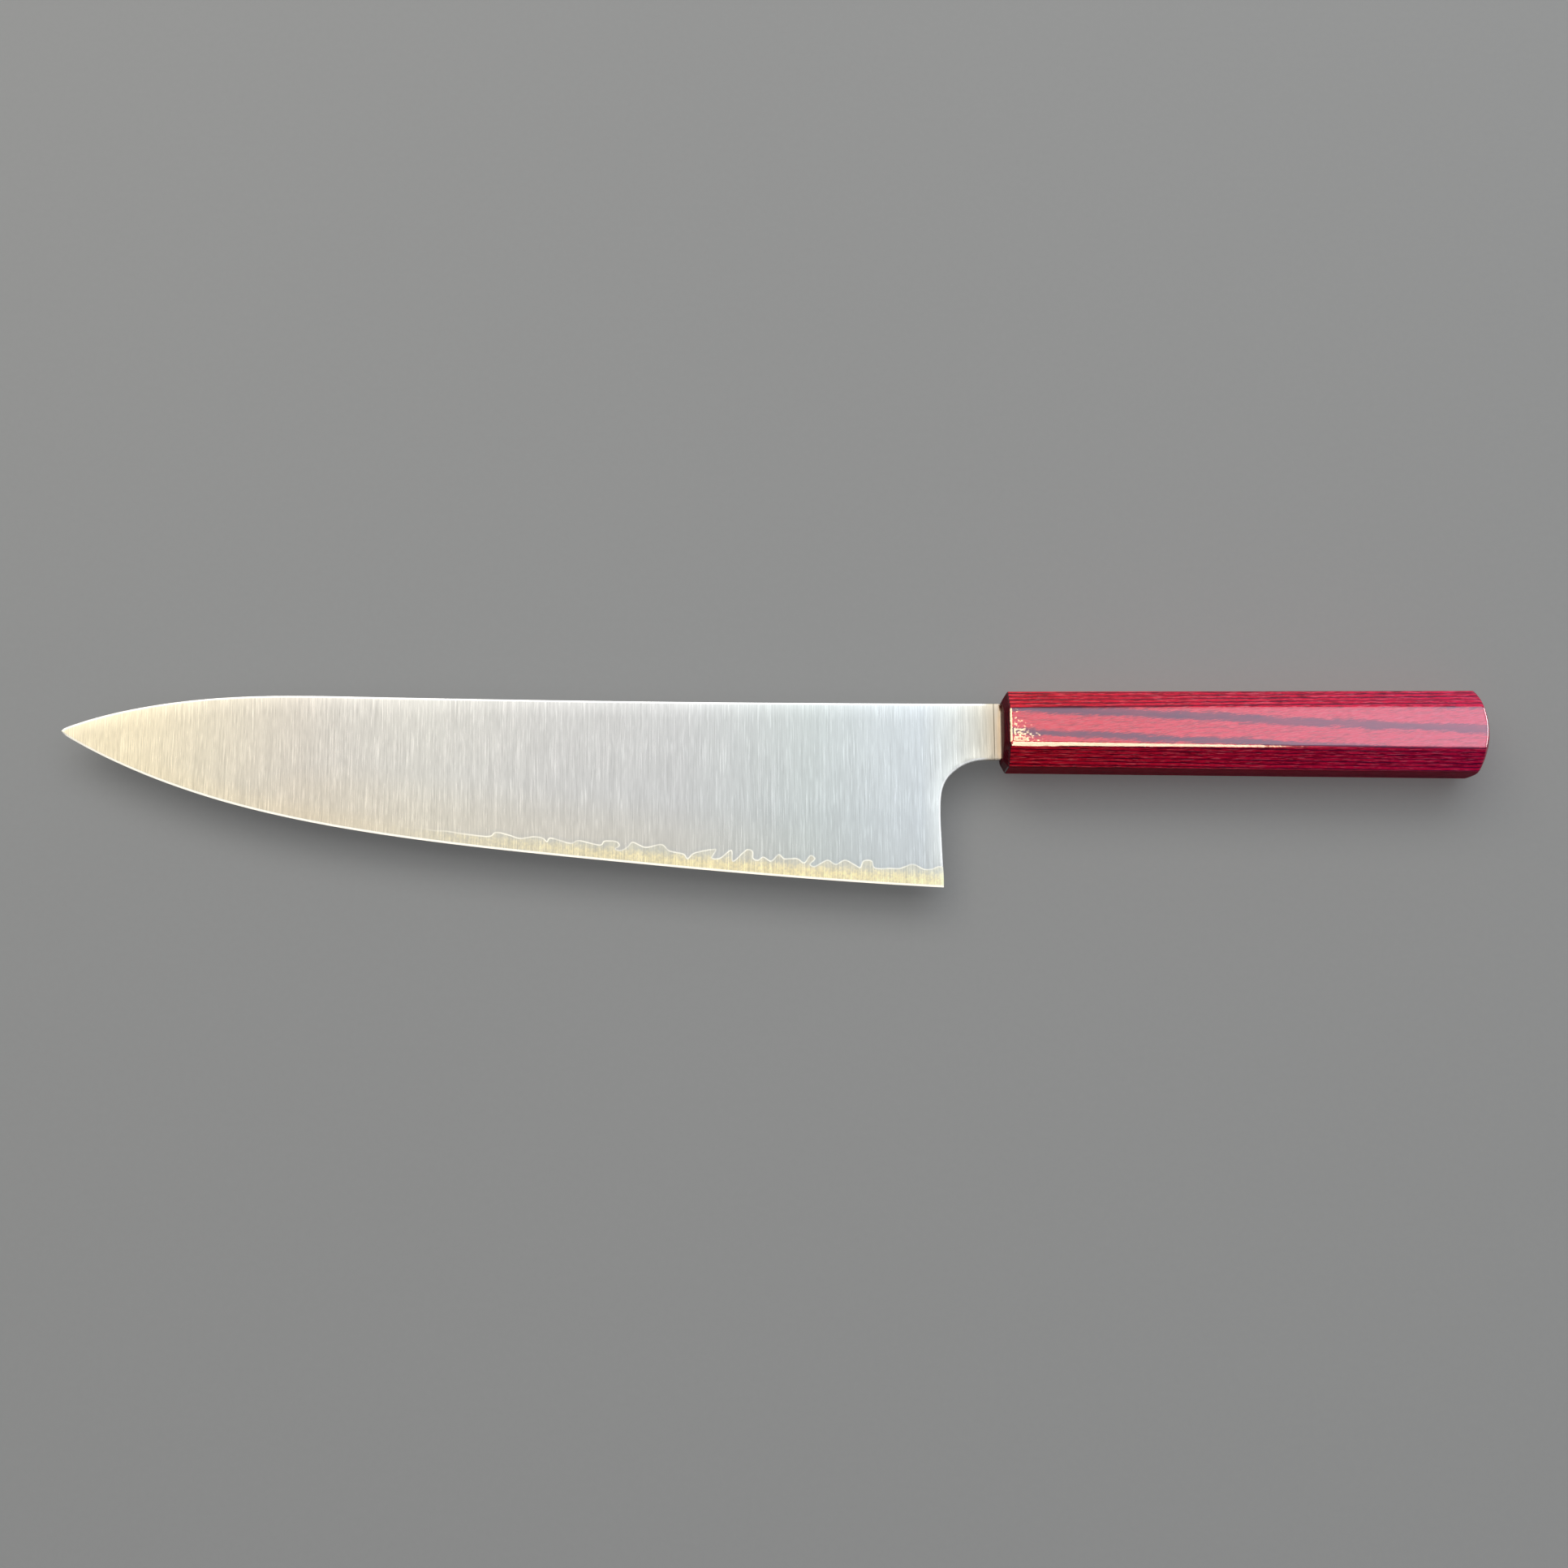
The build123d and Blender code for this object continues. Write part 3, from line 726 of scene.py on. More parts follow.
def handle_rings():
    """Rings of points close to the skin, from the front's middle to the butt."""
    start, end = perimeter(corners(0.0)), perimeter(corners(HANDLE_L))
    count = len(start)

    def section(x):
        """The lines along the handle at one x, or at an x for each line."""
        return start + (end - start) * (np.broadcast_to(x, count) / HANDLE_L)[:, None]

    def ring(x, yz):
        return np.column_stack([np.broadcast_to(x, count), yz])

    front = perimeter(corners(0.0, FRONT_IN))
    rings = [ring(0.0, front * share) for share in CAP_SHARES]
    rings += [ring(FRONT_BACK * share, perimeter(corners(0.0, FRONT_IN * (1 - share))))
              for share in CHAMFER_SHARES]
    # where each line along the handle meets the dome, found by iteration
    meet_x = np.full(count, 129.0)
    for _ in range(30):
        radius = np.linalg.norm(section(meet_x), axis=1)
        meet_x = DOME_X + np.sqrt(BUTT_R ** 2 - radius ** 2)
    rings += [ring(FRONT_BACK + gap, section(FRONT_BACK + gap)) for gap in HEAD_GAPS]
    rings += [ring(x, section(x)) for x in MID_STATIONS]
    rings += [ring(meet_x - gap, section(meet_x - gap)) for gap in TAIL_GAPS]
    meet = section(meet_x)
    radius = np.linalg.norm(meet, axis=1)
    angle = np.arcsin(radius / BUTT_R)
    for share in DOME_SHARES:
        t = angle * (1 - share)
        rings.append(ring(DOME_X + BUTT_R * np.cos(t),
                          meet * (BUTT_R * np.sin(t) / radius)[:, None]))
    return np.array(rings)


def onto_skin(q):
    """Moves points along lines from the axis until the field is 1."""
    axis = np.zeros_like(q)
    axis[:, 0] = np.where(q[:, 0] < 8.0, 8.0, np.minimum(q[:, 0], DOME_X))
    lo, hi = np.full(len(q), 0.3), np.full(len(q), 1.05)
    for _ in range(46):
        mid = (lo + hi) / 2
        f = field(axis + (q - axis) * mid[:, None])
        lo = np.where(f < 1, mid, lo)
        hi = np.where(f < 1, hi, mid)
    return axis + (q - axis) * ((lo + hi) / 2)[:, None]


def handle_body():
    rings = handle_rings()
    rows, count = rings.shape[:2]
    bm = bmesh.new()
    vs = [bm.verts.new(v) for v in onto_skin(rings.reshape(-1, 3))]
    for i in range(rows - 1):
        for j in range(count):
            k = (j + 1) % count
            bm.faces.new([vs[i * count + j], vs[i * count + k],
                          vs[(i + 1) * count + k], vs[(i + 1) * count + j]])
    for row, x in ((0, 0.0), (rows - 1, HANDLE_L)):
        centre = bm.verts.new((x, 0.0, 0.0))
        for j in range(count):
            bm.faces.new([vs[row * count + j], vs[row * count + (j + 1) % count], centre])
    bmesh.ops.recalc_face_normals(bm, faces=bm.faces[:])
    return bm


def cut(bm, level, keep_above):
    """Cuts the body along a joint and closes it."""
    n = Vector(PLY_N)
    geom = bm.verts[:] + bm.edges[:] + bm.faces[:]
    bmesh.ops.bisect_plane(bm, geom=geom, dist=1e-5, plane_co=n * level, plane_no=n,
                           clear_inner=keep_above, clear_outer=not keep_above)
    rim = [e for e in bm.edges if len(e.link_faces) == 1]
    if rim:
        bmesh.ops.holes_fill(bm, edges=rim, sides=0)


def pocket_cutter():
    """A tapered box that starts ahead of the handle's front."""
    ahead, ease = 2.0, 0.04
    half_t = POCKET_T / 2
    bm = bmesh.new()
    ends = []
    for x, h in ((-ahead, POCKET_H0 / 2 + ease), (POCKET_L, POCKET_H1 / 2)):
        ends.append([bm.verts.new((x, TANG_Y + sy * h, sz * half_t))
                     for sy, sz in ((1, 1), (-1, 1), (-1, -1), (1, -1))])
    for i in range(4):
        j = (i + 1) % 4
        bm.faces.new([ends[0][i], ends[0][j], ends[1][j], ends[1][i]])
    for end in ends:
        bm.faces.new(end)
    bmesh.ops.recalc_face_normals(bm, faces=bm.faces[:])
    mesh = bpy.data.meshes.new("pocket_cutter")
    bm.to_mesh(mesh)
    bm.free()
    return link_object("pocket_cutter", mesh)


def cut_pocket(obj, cutter):
    mod = obj.modifiers.new("pocket", "BOOLEAN")
    mod.operation, mod.solver, mod.object = "DIFFERENCE", "EXACT", cutter
    depsgraph = bpy.context.evaluated_depsgraph_get()
    mesh = bpy.data.meshes.new_from_object(obj.evaluated_get(depsgraph))
    obj.modifiers.clear()
    obj.data = mesh
    mesh.name = obj.name


def finish_ply(obj):
    """Scales to metres; the skin gets the field's own normals, the glued faces flat ones."""
    mesh = obj.data
    co = read_points(mesh)
    p = co.reshape(-1, 3).astype(float)
    on_skin = np.abs(field(p) - 1) < 2e-3
    skin_normal = field_normal(p)
    normals = np.zeros((len(mesh.loops), 3))
    for poly in mesh.polygons:
        flat = np.array(poly.normal)
        ids = list(poly.vertices)
        outer = len(ids) <= 8 and all(on_skin[i] and skin_normal[i] @ flat > 0.7 for i in ids)
        poly.use_smooth = True
        for loop, i in zip(poly.loop_indices, ids):
            normals[loop] = skin_normal[i] if outer else flat
    mesh.vertices.foreach_set("co", (co * MM).astype(np.float32))
    mesh.update()
    mesh.normals_split_custom_set([tuple(v) for v in normals])


def ply(number, body, cutter):
    """One veneer, numbered from the lowest."""
    low = PLY_PHASE - PLY_T * PLIES_UNDER_PHASE + PLY_T * (number - 1)
    bm = body.copy()
    if number > 1:
        cut(bm, low, True)
    if number < N_PLY:
        cut(bm, low + PLY_T, False)
    bmesh.ops.recalc_face_normals(bm, faces=bm.faces[:])
    name = "veneer_%02d" % number
    mesh = bpy.data.meshes.new(name)
    bm.to_mesh(mesh)
    bm.free()
    obj = link_object(name, mesh)
    if low < POCKET_PLIES[1] and low + PLY_T > POCKET_PLIES[0]:
        cut_pocket(obj, cutter)
    finish_ply(obj)
    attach(obj, "root")
    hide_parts("handle_ply_%02d" % number)
    return obj


body = handle_body()
cutter = pocket_cutter()
plies = [ply(number, body, cutter) for number in range(1, N_PLY + 1)]
body.free()
bpy.data.objects.remove(cutter)


# ---------------------------------------------------------------------------
# Materials
# ---------------------------------------------------------------------------
class Signal:
    """A node output; arithmetic on it makes math nodes."""

    def __init__(self, tree, socket):
        self.tree, self.socket = tree, socket

    def __add__(self, other):
        return self.tree.math("ADD", self, other)

    def __radd__(self, other):
        return self.tree.math("ADD", other, self)

    def __sub__(self, other):
        return self.tree.math("SUBTRACT", self, other)

    def __rsub__(self, other):
        return self.tree.math("SUBTRACT", other, self)

    def __mul__(self, other):
        return self.tree.math("MULTIPLY", self, other)

    def __truediv__(self, other):
        return self.tree.math("DIVIDE", self, other)

    def __abs__(self):
        return self.tree.math("ABSOLUTE", self)


class Tree:
    """Short forms for building a shader. Colours are (r, g, b), lengths are millimetres."""

    def __init__(self, name):
        self.mat = bpy.data.materials.new(name)
        self.mat.use_nodes = True
        self.nt = self.mat.node_tree
        self.nt.nodes.clear()

    def node(self, kind, **settings):
        n = self.nt.nodes.new(kind)
        for key, value in settings.items():
            setattr(n, key, value)
        return n

    def put(self, socket, value):
        if isinstance(value, Signal):
            self.nt.links.new(value.socket, socket)
        else:
            socket.default_value = value

    def make(self, kind, inputs, output=0, **settings):
        """Adds a node, fills its inputs and returns one output."""
        n = self.node(kind, **settings)
        for key, value in inputs.items():
            self.put(n.inputs[key], value)
        return Signal(self, n.outputs[output])

    def math(self, operation, *values):
        return self.make("ShaderNodeMath", dict(enumerate(values)), operation=operation)

    def vector(self, operation, *values, **named):
        return self.make("ShaderNodeVectorMath", {**dict(enumerate(values)), **named},
                         operation=operation)

    def ramp(self, value, over, to=(0.0, 1.0), smooth=True):
        """Maps the range over to the range to, held outside."""
        return self.make("ShaderNodeMapRange",
                         {"Value": value, "From Min": over[0], "From Max": over[1],
                          "To Min": to[0], "To Max": to[1]}, "Result", clamp=True,
                         interpolation_type="SMOOTHSTEP" if smooth else "LINEAR")

    def stops(self, value, table):
        """A colour that changes along value, from (position, colour) rows, up to 2 each."""
        lo, hi = table[0][0], table[-1][0]
        n = self.node("ShaderNodeValToRGB")
        self.put(n.inputs["Fac"], self.ramp(value, over=(lo, hi), smooth=False))
        elements = n.color_ramp.elements
        while len(elements) < len(table):
            elements.new(0.5)
        for e, (position, _) in zip(elements, table):
            e.position = (position - lo) / (hi - lo)
        for e, (_, c) in zip(sorted(elements, key=lambda q: q.position), table):
            e.color = (c[0] / 2, c[1] / 2, c[2] / 2, 1)
        return self.vector("SCALE", Signal(self, n.outputs["Color"]), Scale=2.0)

    def split(self, vector):
        n = self.node("ShaderNodeSeparateXYZ")
        self.put(n.inputs[0], vector)
        return [Signal(self, s) for s in n.outputs]

    def normal(self):
        """World normal of the surface, as x, y, z."""
        return self.split(self.make("ShaderNodeNewGeometry", {}, "Normal"))

    def position(self):
        """Object coordinates in millimetres, as x, y, z."""
        place = self.make("ShaderNodeTexCoord", {}, "Object")
        return self.split(self.vector("SCALE", place, Scale=1000.0))

    def mix(self, factor, a, b, mode="MIX"):
        a, b = [c if isinstance(c, Signal) else (*c, 1.0) for c in (a, b)]
        return self.make("ShaderNodeMix", {0: factor, 6: a, 7: b}, 2, data_type="RGBA",
                         blend_type=mode, clamp_factor=True)

    def tint(self, colour, by):
        return self.mix(1.0, colour, by, "MULTIPLY")

    def vec(self, x, y, z):
        return self.make("ShaderNodeCombineXYZ", {0: x, 1: y, 2: z})

    def grey(self, value):
        return self.vec(value, value, value)

    def noise(self, at, scale, shift=0.0, detail=2.0, rough=0.5):
        """Noise with a scale per axis; shift moves it along the first axis."""
        at = [a if s == 1 else a * s for a, s in zip(at, scale)]
        if shift:
            at[0] = at[0] + shift
        return self.make("ShaderNodeTexNoise",
                         {"Vector": self.vec(*at), "Scale": 1.0, "Detail": detail,
                          "Roughness": rough, "Distortion": 0.0},
                         "Fac", noise_dimensions="3D")

    def random(self, value):
        return self.make("ShaderNodeTexWhiteNoise", {"W": value}, "Value",
                         noise_dimensions="1D")

    def attr(self, name):
        return self.make("ShaderNodeAttribute", {}, "Fac", attribute_name=name)

    def bump(self, height, distance, strength):
        """Distance is in metres."""
        return self.make("ShaderNodeBump",
                         {"Strength": strength, "Distance": distance, "Height": height})

    def principled(self, **inputs):
        shader = self.make("ShaderNodeBsdfPrincipled",
                           {key.replace("_", " "): v for key, v in inputs.items()})
        self.put(self.node("ShaderNodeOutputMaterial").inputs[0], shader)
        return self.mat


# painted tint of reflected warm and cool light along the blade: x, colour
PAINTED_STEEL_REFLECTION = [(-256.0, (1.24, 1.19, 1.12)), (-238.0, (1.25, 1.20, 1.12)),
               (-217.0, (1.15, 1.10, 1.04)), (-191.0, (1.13, 1.05, 0.98)),
               (-156.0, (1.18, 1.13, 1.07)), (-122.0, (1.09, 1.055, 1.04)),
               (-87.0, (1.07, 1.05, 1.05)), (-52.0, (1.06, 1.10, 1.09)),
               (-22.0, (1.17, 1.21, 1.25)), (-13.0, (1.24, 1.24, 1.20)),
               (-6.0, (1.20, 1.12, 0.98)), (-2.6, (1.10, 0.94, 0.74)),
               (0.0, (1.12, 0.92, 0.74))]
# painted tint of reflected light on the exposed core, brighter toward the heel: x, colour
PAINTED_BAND_REFLECTION = [(-160.0, (1.02, 1.0, 1.0)), (-90.0, (1.06, 1.05, 1.02)),
              (-50.0, (1.16, 1.12, 1.05)), (-16.0, (1.20, 1.20, 1.16))]


def hairlines(t, x, y, z):
    """Grinding lines, long in Y and fine in X, and single brighter scratches."""
    bend = (t.noise((x, y, z), scale=(0.02, 0.03, 1), detail=1) - 0.5) * 0.9
    skewed = x + y * 0.012 + bend
    at = (skewed, y, z)
    fine = t.noise(at, scale=(6.2, 0.07, 0.2), rough=0.6)
    medium = t.noise(at, scale=(2.4, 0.035, 0.2), shift=31, rough=0.6)
    broad = t.noise(at, scale=(0.45, 0.02, 0.2), shift=77, detail=1)
    short = t.noise(at, scale=(4.2, 0.30, 0.2), shift=9, rough=0.6)
    lines = ((fine - 0.5) * 0.85 + (medium - 0.5) * 0.62 + (broad - 0.5) * 0.16
             + (short - 0.5) * t.ramp(x, over=(-60, -190), to=(0.35, 0.75)))
    narrow = t.noise((skewed, y, 0.0), scale=(3.0, 0.085, 1), shift=11, detail=1)
    wide = t.noise((skewed, y, 3.0), scale=(2.2, 0.13, 1), shift=211, detail=1)
    scratches = t.ramp(narrow, over=(0.58, 0.70)) + t.ramp(wide, over=(0.60, 0.70)) * 0.8
    return lines, scratches


def exposed_core(t, x, y, z, d_line, d_edge, lines, level, col, rough):
    """The bare core: creamier and mottled, with a painted highlight on the bevel along the edge.
    """
    coarse = t.noise((x, y, z), scale=(0.55, 0.55, 1), detail=4, rough=0.62)
    fine = t.noise((x, y, z), scale=(1.7, 1.2, 1), detail=3, rough=0.6)
    mottle = (coarse - 0.5) * 0.55 + (fine - 0.5) * 0.45 + lines * 0.26
    spread = (-0.22, 0.26)
    cream = t.mix(t.ramp(mottle, over=spread), (0.62, 0.56, 0.40), (1.0, 0.87, 0.52))
    grey = t.mix(t.ramp(mottle, over=spread), (0.50, 0.50, 0.47), (0.66, 0.64, 0.54))
    creamy = (t.ramp(d_edge + mottle * -2.2, over=(4.6, 1.6))
              * t.ramp(x, over=(-150, -80), to=(0.45, 1.0)))
    band = t.tint(t.mix(creamy, grey, cream), t.grey(level))
    # painted reflection tint along the band
    band = t.tint(band, t.stops(x, PAINTED_BAND_REFLECTION))
    in_band = t.ramp(d_line, over=(0.05, -0.25))
    col = t.mix(in_band * t.ramp(x, over=(-172, -138), to=(0.0, 0.95)), col, band)
    # painted highlight on the edge bevel, which is also smoother
    bevel = t.ramp(d_edge, over=(0.60, 0.50))
    col = t.mix(bevel * 0.9, col, (0.97, 0.93, 0.82))
    rough = t.mix(bevel, t.grey(rough + mottle * 0.10), (0.22, 0.22, 0.22))
    return col, rough, lines + mottle * 0.35


def layer_line(t, x, y, z, d_line, col):
    """The bright line where the layers meet, with a darker shade on the cladding beside it."""
    wobble = (t.noise((x, y, z), scale=(0.9, 0.9, 1), detail=3) - 0.5) * 0.16
    distance = abs(d_line + wobble)
    patches = t.noise((x, y, z), scale=(0.35, 0.35, 1))
    strength = t.ramp(x, over=(-160, -138), to=(0.03, 1.0))
    line = (t.ramp(distance, over=(0.27, 0.07)) * strength
            * t.ramp(patches, over=(0.30, 0.60), to=(0.45, 0.95)))
    shade = (t.ramp(d_line, over=(1.5, 0.35)) * t.ramp(d_line, over=(0.15, 0.4))
             * (strength * 0.16))
    col = t.mix(shade, col, (0.42, 0.44, 0.45))
    return t.mix(line, col, (1.0, 0.96, 0.85))


def steel(name, is_core):
    """Ground steel with hairlines running from edge to spine."""
    t = Tree(name)
    x, y, z = t.position()
    d_line, d_edge, d_rim = t.attr("d_line"), t.attr("d_edge"), t.attr("d_rim")
    lines, scratches = hairlines(t, x, y, z)
    cloud = t.noise((x, y, z), scale=(0.045, 0.05, 1), detail=3, rough=0.55)
    # warmer toward the tip, a painted reflection of warm light, and low on the blade
    warm_tip = t.ramp(x, over=(-175, -245))
    warm_low = t.ramp(d_edge, over=(20, 5)) * t.ramp(x, over=(-110, -30), to=(0.38, 0.06))
    warmth = t.math("MAXIMUM", warm_tip, warm_low)
    col = t.mix(warmth, (0.500, 0.512, 0.515), (0.60, 0.560, 0.455))
    tip_band = t.ramp(x, over=(-138, -176)) * t.ramp(d_edge, over=(7, 1), to=(0.0, 0.50))
    col = t.mix(tip_band, col, (0.62, 0.575, 0.46))
    # brightness from lines, clouds and scratches, a lighter zone inside the rim, and the painted
    # reflection tint along the blade
    level = 1.0 + (lines * 0.50 + ((cloud - 0.5) * 0.12 + scratches * 0.16))
    level = level + t.ramp(d_rim, over=(5.5, 0)) * 0.21
    col = t.tint(t.tint(col, t.grey(level)), t.stops(x, PAINTED_STEEL_REFLECTION))
    # a fine dark line just ahead of the handle, and a painted highlight along the eased rim of
    # spine and choil
    dark_line_near_handle = t.ramp(abs(x + 1.85 + y * 0.012), over=(0.17, 0.05))
    col = t.mix(dark_line_near_handle * t.ramp(y, over=(-7.2, -6.2), to=(0.45, 0.80)), col,
                (0.12, 0.09, 0.055))
    rim = t.ramp(d_rim, over=(0.80, 0.30)) * t.ramp(x, over=(-3, -6))
    col = t.mix(rim * 0.85, col, (1.0, 1.0, 1.0))
    rough = 0.31 + (lines * -0.20 + (cloud - 0.5) * 0.08)
    height = lines
    if is_core:
        col, rough, height = exposed_core(t, x, y, z, d_line, d_edge, lines, level, col, rough)
    return t.principled(Base_Color=layer_line(t, x, y, z, d_line, col), Metallic=1.0,
                        Roughness=rough, Anisotropic=0.55,
                        Normal=t.bump(height, distance=0.00002, strength=0.55),
                        Tangent=t.vec(1.0, 0.0, 0.0))


def lacquer_normal(t, x, y, z, nz):
    """Gently rippled lacquer, pitted in the upper flat's front corner on the -Y side."""
    dimple = t.noise((x, y, z), scale=(0.55, 0.55, 0.55), detail=3, rough=0.55)
    ripple = t.noise((x, y, z), scale=(0.16, 0.35, 0.35), detail=1)
    # close pits at the corner, fewer away from it
    pits = t.noise((x, y, 31.0), scale=(1.05, 1.15, 1), rough=0.6)
    rarer = 0.37 + ((x - 2.5) * 0.028 + (y + 4.2) * 0.030)
    pitted = (t.ramp(pits, over=(rarer, rarer + 0.05)) * t.ramp(x, over=(2.2, 2.8))
              * (t.ramp(x + y * 0.5, over=(9.5, 8.0)) * t.ramp(nz, over=(0.975, 0.998))))
    skin = t.bump(dimple + ripple * 1.2, distance=0.00006, strength=0.5)
    tip_x = t.noise((x, y, 4.0), scale=(0.85, 0.95, 1), rough=0.6)
    tip_y = t.noise((x, y, 19.0), scale=(0.85, 0.95, 1), rough=0.6)
    lean = t.vec(-0.42 + (tip_x - 0.5) * 1.9, (tip_y - 0.5) * 1.0, 0.0)
    tipped = t.vector("ADD", skin, t.vector("MULTIPLY", t.grey(pitted), lean))
    return t.vector("NORMALIZE", tipped)


def veneer(name):
    """Dyed veneers under a clear lacquer: the pattern is the same field for every ply."""
    t = Tree(name)
    x, y, z = t.position()
    # level through the plies, disturbed a little
    slow = t.noise((x, y, z), scale=(0.045, 0.16, 0.16))
    quick = t.noise((x, y, z), scale=(0.30, 0.8, 0.8), rough=0.55)
    fine = t.noise((x, y, z), scale=(1.3, 3.0, 3.0))
    depth = x * float(PLY_N[0]) + y * float(PLY_N[1]) + z * float(PLY_N[2])
    depth = depth + ((slow - 0.5) * 0.26 + ((quick - 0.5) * 0.14 + (fine - 0.5) * 0.05))
    count = (depth - PLY_PHASE) / PLY_T
    index = t.math("FLOOR", count)
    to_joint = (0.5 - abs(count - index - 0.5)) * PLY_T
    ply_random = t.random(index + 40.5)
    joint_random = t.random(t.math("ROUND", count) + 90.5)

    # fibres
    fibre_a = t.noise((x, y - x * 0.11, depth), scale=(0.15, 2.4, 5.0), detail=3, rough=0.6)
    fibre_b = t.noise((x, y - x * 0.11, depth), scale=(0.50, 6.0, 11.0), rough=0.6)
    patch = t.noise((x, y, depth), scale=(0.22, 1.1, 2.2), shift=55, detail=3, rough=0.55)
    dashes = t.noise((x, y, depth), scale=(0.30, 3.4, 7.0), shift=155)
    fibre = (fibre_a - 0.5) * 1.0 + (fibre_b - 0.5) * 0.8

    # dye, bluer toward the butt
    blue = t.ramp(x, over=(5, 125), smooth=False)
    deep = t.mix(blue, (0.17, 0.0006, 0.006), (0.16, 0.0006, 0.020))
    mid = t.mix(blue, (0.92, 0.007, 0.036), (0.90, 0.007, 0.090))
    light = t.mix(blue, (1.0, 0.17, 0.19), (1.0, 0.17, 0.31))
    tone = fibre + (ply_random - 0.5) * 0.30 + (patch - 0.5) * 0.9
    col = t.mix(t.ramp(tone, over=(-0.40, 0.13)), deep, mid)
    # pale open grain that took less dye, in dashes along the handle
    dash = t.ramp(dashes * 0.66 + fibre_a * 0.34, over=(0.545, 0.63))
    nx, ny, nz = t.normal()
    on_flat = t.ramp(abs(nz), over=(0.93, 0.985))
    col = t.mix(dash * t.ramp(on_flat, over=(0, 1), to=(0.70, 0.30)), col, light)
    # the flats look silkier: fine pale fibres on a slant, and less of the coarse grain
    silk = t.noise((x, y - x * 0.22, 0.0), scale=(0.42, 4.2, 1), shift=7, detail=3, rough=0.6)
    col = t.mix(on_flat * 0.35, col, mid)
    col = t.mix(on_flat * t.ramp(silk, over=(0.44, 0.66), to=(0.0, 0.34)), col, light)

    # joints with ragged sides, feathered more on the flats
    width = 0.045 + joint_random * 0.065
    ragged = ((fibre_a - 0.5) * 0.16 + (patch - 0.5) * 0.10
              + on_flat * (silk - 0.42) * 0.30)
    feather = t.ramp(on_flat, over=(0, 1), to=(0.105, 0.130))
    joint = t.ramp(to_joint + ragged, over=(width + feather, width))
    fading = t.noise((x, y, depth), scale=(0.05, 0.2, 0.4))
    joint = joint * t.ramp(fading, over=(0.30, 0.62), to=(0.72, 1.0))
    joint_dark = t.mix(blue, (0.050, 0.0, 0.016), (0.085, 0.002, 0.050))
    col = t.mix(joint * 0.94, col, joint_dark)
    # on the flats the joints turn purple-grey: dark joints under a painted veil of reflected
    # light
    col = t.mix(on_flat * joint * 0.45, col, (0.17, 0.05, 0.16))

    # painted sheen of reflected light making the flats pinker toward the butt, painted shade on
    # the -Y side, and painted shade making the end grain at the front nearly black
    painted_sheen = on_flat * t.ramp(x, over=(25, 130), to=(0.01, 0.22), smooth=False)
    col = t.mix(painted_sheen, col, (1.0, 0.50, 0.70))
    # painted shade on the facets that face -Y
    col = t.mix(t.ramp(ny, over=(-0.80, -0.95), to=(0.0, 0.62)), col, (0.10, 0.001, 0.012))
    # painted shade turns the front faces nearly black
    painted_front_shade = t.ramp(nx, over=(-0.22, -0.50))
    col = t.mix(painted_front_shade * 0.90, col, (0.030, 0.0, 0.004))

    # the lacquer shines less on the -Y side, the front and the butt
    coat = (t.ramp(ny, over=(-0.80, -0.95), to=(1.0, 0.12))
            * t.ramp(nx, over=(-0.70, -0.90), to=(1.0, 0.15))
            * t.ramp(nx, over=(0.80, 0.93), to=(1.0, 0.18)))
    return t.principled(Base_Color=col, IOR=1.45, Specular_IOR_Level=0.0,
                        Roughness=t.ramp(fibre, over=(-0.5, 0.5), to=(0.50, 0.36)),
                        Normal=t.bump(fibre + joint * -0.5, distance=0.00002, strength=0.5),
                        Coat_Weight=coat, Coat_Roughness=0.06, Coat_IOR=1.50,
                        Coat_Normal=lacquer_normal(t, x, y, z, nz))


def resin(name):
    """Brown cured epoxy with paler specks."""
    t = Tree(name)
    x, y, z = t.position()
    cloud = t.noise((x, y, z), scale=(0.3, 0.6, 0.9), detail=3)
    speck = t.noise((x, y, z), scale=(2.2, 2.2, 2.2))
    col = t.mix(cloud, (0.10, 0.045, 0.018), (0.30, 0.16, 0.07))
    col = t.mix(t.ramp(speck, over=(0.58, 0.70)) * 0.5, col, (0.50, 0.36, 0.20))
    return t.principled(Base_Color=col, Coat_Weight=0.3, Coat_Roughness=0.2,
                        Roughness=t.ramp(speck, over=(0.3, 0.7), to=(0.25, 0.5)),
                        Normal=t.bump(speck, distance=0.00008, strength=0.5))


def floor_paper(name):
    """Even grey paper with a faint broad and a faint fine variation."""
    base_grey = 0.28
    t = Tree(name)
    x, y, _ = t.position()
    broad = t.noise((x, y, 0.0), scale=(0.002, 0.002, 1))
    fine = t.noise((x, y, 0.0), scale=(0.6, 0.6, 1))
    value = base_grey + ((broad - 0.5) * 0.02 + (fine - 0.5) * 0.012)
    return t.principled(Base_Color=t.grey(value), Roughness=0.92, Specular_IOR_Level=0.2)


def dress(objects, material):
    for obj in objects:
        obj.data.materials.clear()
        obj.data.materials.append(material)


cladding_steel = steel("cladding_steel_ground", is_core=False)
dress([blade_core], steel("core_steel_ground", is_core=True))
dress([cladding_left, cladding_right], cladding_steel)
dress(plies, veneer("red_veneer_lacquered"))
epoxy = resin("adhesive_epoxy")
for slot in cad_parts["tang_adhesive"].material_slots:
    slot.link = "OBJECT"
    slot.material = epoxy

